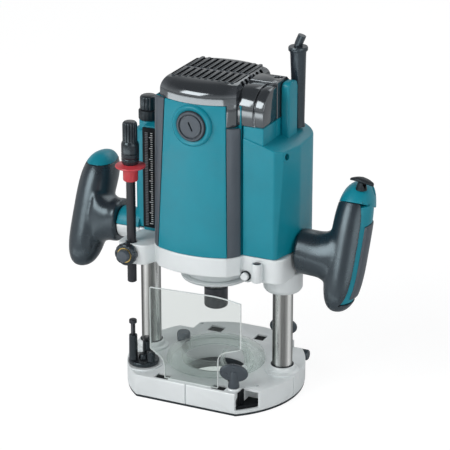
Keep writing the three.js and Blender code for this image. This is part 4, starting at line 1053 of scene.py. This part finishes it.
def limit_parts():
    """The ribbed nut and knob on the limit rod above the left column."""
    low, high = span("limit_nut")
    radius = (high.x - low.x) / 2
    nut = turned("limit_ring", [(3.8, low.z), (radius - 0.5, low.z), (radius, low.z + 0.6), (radius, high.z - 0.6),
                 (radius - 0.5, high.z), (3.8, high.z)], at(-COLUMN_X, 0), 80, ribs(16, 0.6, low.z + 0.3, high.z - 0.3))
    finish(nut, "lower_limit_nut", NYLON_AND_PAINTED_SHADE, ["limit_nut"], 50)
    low, high = span("limit_knob")
    radius = (high.x - low.x) / 2
    knob = turned("limit_cap", [(0, low.z), (radius - 0.5, low.z), (radius, low.z + 0.8), (radius, high.z - 1.6),
                  (radius - 0.7, high.z - 0.5), (radius - 1.6, high.z), (0, high.z - 0.2)], at(-COLUMN_X, 0), 96,
                  ribs(14, 0.9, low.z + 0.3, high.z - 1.0))
    finish(knob, "upper_limit_knob", BLACK, ["limit_knob"], 50)

def turret_parts():
    """The stop turret: a flat wheel with three posts, one holding a tall bolt."""
    low, high = span("stop_turret")
    radius = 14.0
    wheel = turned("turret_wheel", [(0, low.z), (13.2, low.z), (radius, low.z + 0.8), (radius, low.z + 3.2),
                   (12.9, low.z + 4.2), (0, low.z + 4.4)], at(TURRET_X, TURRET_Y), 96, ribs(20, 0.4, 0, low.z + 4))
    join(wheel, rod("hub", (TURRET_X, TURRET_Y, low.z + 2), (TURRET_X, TURRET_Y, low.z + 8.2), 5, 4.4, 0.6))
    for angle, top in ((220.2, high.z), (100.2, high.z - 11), (340.2, high.z - 15)):
        x = TURRET_X + 9.5 * math.cos(math.radians(angle))
        y = TURRET_Y + 9.5 * math.sin(math.radians(angle))
        join(wheel, rod("post", (x, y, low.z + 2), (x, y, top), 4.0, 3.7, 0.6, 32))
    finish(soften(wheel, 0.3, 2, 40), "turret", BLACK, ["stop_turret"], 40)
    for node, name in (("stop_bolt_tall", "tall_bolt"), ("stop_bolt_short", "short_bolt")):
        low, high = span(node)
        centre = (low + high) / 2
        shank = rod(name, (centre.x, centre.y, low.z + 6.5), (centre.x, centre.y, high.z - 3), 2.0, steps=24)
        head = turned("head", [(0, high.z - 3.6), (3.2, high.z - 3.6), (3.5, high.z - 3.2), (3.5, high.z - 0.6),
                      (2.9, high.z), (0, high.z)], at(centre.x, centre.y), 24)
        finish(soften(join(shank, head), 0.2, 2, 40), "turret", DARK_STEEL, [node], 40)


# ------------------------------------------------------------------ base


def base_outline(inset):
    radius = BASE_RADIUS + 0.1 - inset
    front = math.degrees(math.asin((BASE_FRONT + inset) / radius))
    rear = math.degrees(math.asin((BASE_REAR / BASE_STRETCH - inset) / radius))
    round_plan = arc((0, 0), radius, front, rear, 60) + arc((0, 0), radius, 180 - rear, 180 - front, 60)
    return [(x, y * BASE_STRETCH if y > 0 else y) for x, y in round_plan]

def base_casting():
    """The cast base with its column collars, the notches at its corners and its pockets."""
    base = soften(prism("base_body", base_outline(0), 2.0, BASE_TOP), 1.0, 3, 50)
    notch_x, notch_front, notch_rear, floor = 47.8, -47.0, 51.0, 5.5
    for reach in ((notch_x, 100), (-100, -notch_x)):
        cut(base, block("notch", reach, (notch_rear, 100), (floor, 50)))
    reach = (notch_x, 100)
    cut(base, block("notch", reach, (-100, notch_front), (floor, 50)))
    cut(base, common(block("pit", reach, (-100, notch_front + 0.1), (1.5, 20)), prism("rim", base_outline(2.2), 0, 30)))
    cut(base, block("cavity", (49.5, 63), (-50, -37), (floor, BASE_TOP - 2.4)))
    boss = common(rod("boss", (TURRET_X, TURRET_Y, 8), (TURRET_X, TURRET_Y, 22.4), 16.5, steps=72),
                  prism("rim", base_outline(0), 0, 40))
    join(base, boss)
    for side in (-1, 1):
        collar = turned("collar", [(0, 15), (15.4, 15), (15.2, BASE_TOP + 1.6), (14.4, 23.6), (12.2, 24.0),
                        (11.9, 26.6), (11.3, 27.6), (10.8, 28.0), (0, 28)], at(side * COLUMN_X, 0), 72)
        join(base, collar)
        foot = span("column_left")[0].z - 0.1
        cut(base, rod("bore", (side * COLUMN_X, 0, foot), (side * COLUMN_X, 0, 50), COLUMN_RADIUS + 0.25, steps=72))
    for x, y, half_x, half_y in POCKETS:
        cut(base, soften(block("pocket", (x - half_x, x + half_x), (y - half_y, y + half_y), (1, 40)), 0.6))
    for node in ("wing_bolt_front", "wing_bolt_rear"):
        place = middle(node)
        join(base, rod("seat", (place.x, place.y, 16), (place.x, place.y, 22.5), 6.6, 5.8, 0.5, 40))
    cut(
        base,
        rod("opening", (0, 0, 0), (0, 0, 60), OPENING, steps=96),
        rod("guide", (-44.5, -55.5, 11.5), (60, -55.5, 11.5), 5.4, steps=32),
        rod("guide", (-60, 61, 11.5), (60, 61, 11.5), 4.4, steps=32),
        rod("hole", (58, -38.6, 19), (58, -38.6, 30), 1.9, steps=24),
        rod("hole", (-45, 64, 14), (-45, 64, 30), 1.9, steps=24),
        block("centre_line", (-0.5, 0.5), (BASE_FRONT - 1, BASE_FRONT + 1.8), (1, BASE_TOP + 1)),
    )
    side_line = Matrix.Rotation(math.radians(-6), 4, "Z")
    line = block("side_line", (BASE_RADIUS - 0.5, BASE_RADIUS + 4), (-0.5, 0.5), (1, BASE_TOP + 1))
    line.data.transform(side_line)
    cut(base, line)
    finish(base, "base", CAST, ["base_casting"], 40)
    # Dark rings round the columns at the top of their collars: painted shade for the gap where the columns enter the
    # base.
    for side in (-1, 1):
        column_gap_shade = turned("column_gap_shade_left" if side < 0 else "column_gap_shade_right",
                       [(COLUMN_RADIUS + 0.1, 26), (10.3, 26), (10.3, 28.3), (9.9, 28.6), (COLUMN_RADIUS + 0.1, 28.6)],
                       at(side * COLUMN_X, 0), 72)
        finish(column_gap_shade, "base", NYLON_AND_PAINTED_SHADE)
    # A dark rod filling the front guide bore, cut away at the pockets: painted shade for the bore's hollow.
    painted_bore_shade = rod("guide_bore_painted_shade", (-44, -55.5, 11.5), (44, -55.5, 11.5), 5.3, steps=32)
    for x, y, half_x, half_y in POCKETS:
        cut(painted_bore_shade, block("pocket", (x - half_x - 0.5, x + half_x + 0.5), (-70, -40), (0, 40)))
    finish(painted_bore_shade, "base", NYLON_AND_PAINTED_SHADE)
    # Dark matt blocks filling the pockets to just below their rims: painted shade for their deep hollows.
    for number, (x, y, half_x, half_y) in enumerate(POCKETS, 1):
        painted_pocket_shade = block(f"pocket_painted_shade_{number}", (x - half_x + 0.1, x + half_x - 0.1), (y - half_y + 0.1, y + half_y - 0.1),
                    (2.1, BASE_TOP - 1.3))
        finish(painted_pocket_shade, "base", MATT_AND_PAINTED_SHADE)
    # Dark matt blocks on the front right notch's floor and inner wall: painted shade.
    shade = common(block("notch_painted_shade", (notch_x + 0.2, 63), (-70, -37.4), (2.1, 8.5)), prism("rim", base_outline(2.5), 0, 30))
    join(shade, block("notch_side_painted_shade", (notch_x + 0.2, notch_x + 1.6), (-57.5, notch_front + 1), (2.1, BASE_TOP - 1.2)))
    finish(shade, "base", MATT_AND_PAINTED_SHADE)
    plate = prism("sole", base_outline(0.5), 0, 1.9)
    join(plate, rod("lip", (0, 0, 0.5), (0, 0, 9), OPENING - 0.3, chamfer=0.4, steps=96))
    cut(plate, rod("opening", (0, 0, -5), (0, 0, 19), OPENING - 2.2, steps=96))
    finish(soften(plate, 0.4, 2), "base", NYLON_AND_PAINTED_SHADE, ["base_plate"])


def rounded_wall(outline, reach):
    """An outline moved outwards by a reach along its own normals."""
    moved = []
    count = len(outline)
    for i in range(count):
        before, after = Vector(outline[i - 1]), Vector(outline[(i + 1) % count])
        forward = (after - before).normalized()
        moved.append((outline[i][0] + forward.y * reach, outline[i][1] - forward.x * reach))
    return moved


def clear_parts():
    """The clear chip shield, and the clear guard round the cutter with its hose port."""
    low, high = span("chip_shield")
    outline = [(-22.6, low.z), (29.2, low.z), (29.2, 54), (high.x, 61.5), (high.x, high.z - 3), (30, high.z),
               (low.x, high.z - 2.3), (low.x, 47), (-22.6, 39)]
    outline = rounded(outline, [0.6, 1.0, 8.0, 2.0, 0.8, 10.0, 0.6, 1.0, 7.0], 8)
    shield = loft("shield", [[(x, y, z) for x, z in outline] for y in (low.y, high.y)])
    finish(soften(shield, 0.35, 2, 50), "base", SHEET, ["chip_shield"], 40)
    # A thin opaque pale rim round the shield's outline: a painted highlight for the light its clear edges catch.
    wall = rounded_wall(outline, 0.2)
    rim = [loft("rim", [[(x, y, z) for x, z in wall] for y in (low.y - 0.05, high.y + 0.05)])]
    inner = rounded_wall(outline, -0.22)
    cut(rim[0], loft("inner", [[(x, y, z) for x, z in inner] for y in (low.y - 1, high.y + 1)]))
    rim[0].name = "shield_painted_edge_highlight"
    finish(rim[0], "base", PAINTED_EDGE_HIGHLIGHT)
    bottom = span("dust_nozzle")[0].z
    wall = 1.6
    dome = [(29.2, bottom), (31, bottom), (31, bottom + 7), (32, bottom + 8.4), (40.4, bottom + 4.6), (42.6, bottom),
            (44.8, bottom), (43.6, bottom + 4.4), (41.8, bottom + 6.2), (32.6, bottom + 10.2), (30.6, bottom + 10.2),
            (29.2, bottom + 9)]
    guard = turned("cutter_guard", dome, steps=96)
    port_from, port_to = Vector((21.5, -13, 22)), Vector((31.5, -20, 35))
    direction = (port_to - port_from).normalized()
    port = rod("port", port_from, port_to, 14.5, chamfer=0.5, steps=64)
    flare = rod("flare", port_to - direction * 2.5, port_to, 15.2, chamfer=0.5, steps=64)
    join(guard, port, flare)
    screw = middle("nozzle_thumb_screw")
    for x, y in ((screw.x, screw.y), (-screw.x, -screw.y)):
        join(guard, rod("ear", (x, y, bottom), (x, y, bottom + 5.2), 6.5, chamfer=0.6, steps=40))
    cut(
        guard,
        rod("port_bore", port_from, port_to + direction * 8, 14.5 - wall, steps=64),
        rod("well", (0, 0, 0), (0, 0, 60), OPENING + 0.1, steps=96),
        block("under", (-80, 80), (-80, 80), (-10, bottom)),
        rod("screw_hole", (screw.x, screw.y, 0), (screw.x, screw.y, 60), 2.4, steps=24),
    )
    finish(guard, "base", CLEAR, ["dust_nozzle"], 40)


def base_controls():
    """The thumb screw of the guard, the two wing bolts and the rubber plug."""
    low, high = span("nozzle_thumb_screw")
    centre = (low + high) / 2
    head = turned("thumb_screw", [(0, low.z), (2, low.z), (2, high.z - 9), (5.4, high.z - 9), (6.1, high.z - 8.2),
                  (6.1, high.z - 1.2), (5.2, high.z), (0, high.z)], at(centre.x, centre.y), 72,
                  ribs(18, 0.5, high.z - 8.6, high.z - 0.4))
    finish(head, "thumb_screw", GREY, ["nozzle_thumb_screw"], 50)
    for node, body in (("wing_bolt_front", "front_wing_bolt"), ("wing_bolt_rear", "rear_wing_bolt")):
        low, high = span(node)
        centre = (low + high) / 2
        hub = turned(node.replace("bolt", "screw"), [(0, low.z), (5.2, low.z), (4.9, low.z + 3), (3.6, low.z + 11),
                     (3.0, high.z - 7), (0, high.z - 6)], at(centre.x, centre.y), 40)
        rings = []
        for i in range(9):
            t = -1 + i / 4
            thick = 1.3 + 0.75 * (1 - t * t)
            rings.append((thick, t))
        wing = []
        for k in range(48):
            angle = 2 * math.pi * k / 48
            wing.append((12.6 * math.cos(angle), 8.2 * math.sin(angle)))
        blade = loft("wing", [[(x * s, y, z * s) for x, z in wing] for y, s in
                              ((-1.9, 0.84), (-1.5, 0.96), (-0.7, 1.0), (0.7, 1.0), (1.5, 0.96), (1.9, 0.84))])
        turn = Matrix.Rotation(math.radians(22), 4, "Z") @ Matrix.Rotation(math.radians(8), 4, "Y")
        blade.data.transform(Matrix.Translation((centre.x * MM, centre.y * MM, 0.0362)) @ turn)
        finish(soften(join(hub, blade), 0.5, 3, 40), body, SATIN, [node], 40)
    low, high = span("guide_bore_plug")
    centre = (low + high) / 2
    radius = (high.z - low.z) / 2
    plug = rod("bore_plug", (low.x, centre.y, centre.z), (high.x, centre.y, centre.z), radius, chamfer=0.9)
    finish(plug, "base", RUBBER, ["guide_bore_plug"])


def lock_lever():
    """The plunge lock lever behind the left column."""
    low, high = span("plunge_lock_lever")
    x, y, z = -60.0, low.y, 128.0
    lever = turned("plunge_lever", [(0, 0), (7.2, 0), (8, 0.8), (8, 8.2), (7.2, 9), (0, 9)],
                   along((x, y, z), (x, y + 9, z)), 48)
    join(lever, rod("bar", (x, y + 5.5, z), (x - 25, y + 5.5, z - 8.4), 4.2, 3.6, 0.8, 32))
    melt(lever, 0.7, 6)
    finish(lever, "lock_lever", GREY, ["plunge_lock_lever"], 60)


# ------------------------------------------------------------------ parts kept from the CAD

INSIDE = {
    "limit_rod": STEEL,
    "column_bush_left": DARK_STEEL,
    "column_bush_right": DARK_STEEL,
    "plunge_spring_left": STEEL,
    "plunge_spring_right": STEEL,
    "motor_housing": TEAL,
    "brush_front": CARBON,
    "brush_rear": CARBON,
    "stator": DARK_STEEL,
    "bearing_upper": STEEL,
    "bearing_lower": STEEL,
    "spindle_shaft": STEEL,
    "armature_core": COPPER,
    "commutator": COPPER,
    "cooling_fan": NYLON_AND_PAINTED_SHADE,
}


def dress_cad_nodes():
    for node, material in INSIDE.items():
        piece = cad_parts[node]
        piece.data.materials.clear()
        piece.data.materials.append(material)


# ------------------------------------------------------------------ studio


def softbox(name, place, target, size, power, only_highlights=False):
    light = bpy.data.lights.new(name, "AREA")
    light.shape = "RECTANGLE"
    light.size, light.size_y = size
    light.energy = power
    lamp = bpy.data.objects.new(name, light)
    lamp.visible_diffuse = not only_highlights
    lamp.visible_camera = False
    lamp.location = place
    lamp.rotation_euler = (Vector(target) - Vector(place)).to_track_quat("-Z", "Y").to_euler()
    bpy.context.collection.objects.link(lamp)
    return lamp


def sky():
    """White to the camera; to the surfaces bright round the horizon and dim overhead."""
    world = bpy.data.worlds.new("studio")
    bpy.context.scene.world = world
    world.use_nodes = True
    tree = world.node_tree
    tree.nodes.clear()
    output = tree.nodes.new("ShaderNodeOutputWorld")
    place = tree.nodes.new("ShaderNodeTexCoord")
    split = tree.nodes.new("ShaderNodeSeparateXYZ")
    tree.links.new(place.outputs["Generated"], split.inputs["Vector"])
    ramp = tree.nodes.new("ShaderNodeValToRGB")
    ramp.color_ramp.elements[0].position = 0.0
    ramp.color_ramp.elements[0].color = (1, 1, 1, 1)
    ramp.color_ramp.elements[1].position = 0.75
    ramp.color_ramp.elements[1].color = (0.22, 0.23, 0.24, 1)
    shoulder = ramp.color_ramp.elements.new(0.3)
    shoulder.color = (0.75, 0.76, 0.77, 1)
    tree.links.new(split.outputs["Z"], ramp.inputs["Fac"])
    soft = tree.nodes.new("ShaderNodeBackground")
    soft.inputs["Strength"].default_value = 0.75
    tree.links.new(ramp.outputs["Color"], soft.inputs["Color"])
    white = tree.nodes.new("ShaderNodeBackground")
    white.inputs["Strength"].default_value = 1.0
    rays = tree.nodes.new("ShaderNodeLightPath")
    mix = tree.nodes.new("ShaderNodeMixShader")
    tree.links.new(rays.outputs["Is Camera Ray"], mix.inputs["Fac"])
    tree.links.new(soft.outputs["Background"], mix.inputs[1])
    tree.links.new(white.outputs["Background"], mix.inputs[2])
    tree.links.new(mix.outputs["Shader"], output.inputs["Surface"])


def floor_material():
    """A plain floor that looks nearly white to the camera and lights the object as a light grey one."""
    material, tree, output = new_material("floor_white")
    plain = tree.nodes.new("ShaderNodeBsdfDiffuse")
    plain.inputs["Color"].default_value = (0.82, 0.82, 0.82, 1)
    faint = tree.nodes.new("ShaderNodeBsdfDiffuse")
    faint.inputs["Color"].default_value = (0.24, 0.24, 0.24, 1)
    glow = tree.nodes.new("ShaderNodeEmission")
    glow.inputs["Strength"].default_value = 0.86
    seen = tree.nodes.new("ShaderNodeAddShader")
    tree.links.new(faint.outputs["BSDF"], seen.inputs[0])
    tree.links.new(glow.outputs["Emission"], seen.inputs[1])
    rays = tree.nodes.new("ShaderNodeLightPath")
    mix = tree.nodes.new("ShaderNodeMixShader")
    tree.links.new(rays.outputs["Is Camera Ray"], mix.inputs["Fac"])
    tree.links.new(plain.outputs["BSDF"], mix.inputs[1])
    tree.links.new(seen.outputs["Shader"], mix.inputs[2])
    tree.links.new(mix.outputs["Shader"], output.inputs["Surface"])
    return material


# Low lamps on an arc in front of the router, which the upright band of the top cover mirrors.
STRIP_LAMPS = 7
STRIP_FIRST = -60.0
STRIP_STEP = 12.4
STRIP_REACH = 1.0
STRIP_SIZE = (0.24, 0.56)
STRIP_POWER = 1.1


def studio():
    floor = mesh_piece("floor", [(-9000, -9000, 0), (9000, -9000, 0), (9000, 9000, 0), (-9000, 9000, 0)], [(0, 1, 2, 3)])
    floor.location.z = -0.0002
    floor.data.materials.append(floor_material())
    sky()
    softbox("key", (-0.9, -1.6, 1.5), (0, 0, 0.15), (1.3, 1.3), 27)
    softbox("fill", (1.7, -0.9, 0.9), (0, 0, 0.15), (1.2, 1.2), 7)
    softbox("back", (0.2, 1.5, 1.6), (0, 0, 0.15), (1.6, 1.0), 7)
    for step in range(STRIP_LAMPS):
        angle = math.radians(STRIP_FIRST + STRIP_STEP * step)
        place = SPINDLE + Vector((math.sin(angle), -math.cos(angle), 0)) * STRIP_REACH
        lamp = softbox(f"floor strip {step + 1}", (place.x, place.y, 0.004), (place.x, place.y, 1), STRIP_SIZE,
                       STRIP_POWER, True)
        lamp.rotation_euler = (math.pi, 0, angle)


def camera():
    """The camera at the viewing angle of the picture."""
    azimuth, elevation = math.radians(25.29), math.radians(21.01)
    distance = 1.941
    aim = SPINDLE + Vector((0.0073, 0.0031, 0.1492))
    back = Vector((math.sin(azimuth) * math.cos(elevation), -math.cos(azimuth) * math.cos(elevation),
                   math.sin(elevation)))
    lens = bpy.data.cameras.new("camera")
    lens.lens = 176.4
    lens.sensor_width = 36
    eye = bpy.data.objects.new("camera", lens)
    eye.location = aim + back * distance
    eye.rotation_euler = back.to_track_quat("Z", "Y").to_euler()
    bpy.context.collection.objects.link(eye)
    bpy.context.scene.camera = eye
    bpy.context.scene.view_settings.view_transform = "Standard"


# ------------------------------------------------------------------ the router

for side in (-1, 1):
    face_panel(side)
    brush_cap(side)
corner_strip(-1, -1, "corner_strip_front_left")
corner_strip(1, -1, "corner_strip_front_right")
corner_strip(-1, 1, "corner_strip_rear_left")
corner_strip(1, 1, "corner_strip_rear_right")
motor_sides()
top_cover()
switch_box()
cord_parts()
column_housing()
scale_parts()
right_handle()
left_handle()
lock_off()
gear_housing()
bearing_cover()
column(-1, "column_left")
column(1, "column_right")
small_metal_parts()
stop_rod()
stop_knob()
depth_pointer()
clamp_parts()
limit_parts()
turret_parts()
base_casting()
clear_parts()
base_controls()
lock_lever()
dress_cad_nodes()
studio()
camera()
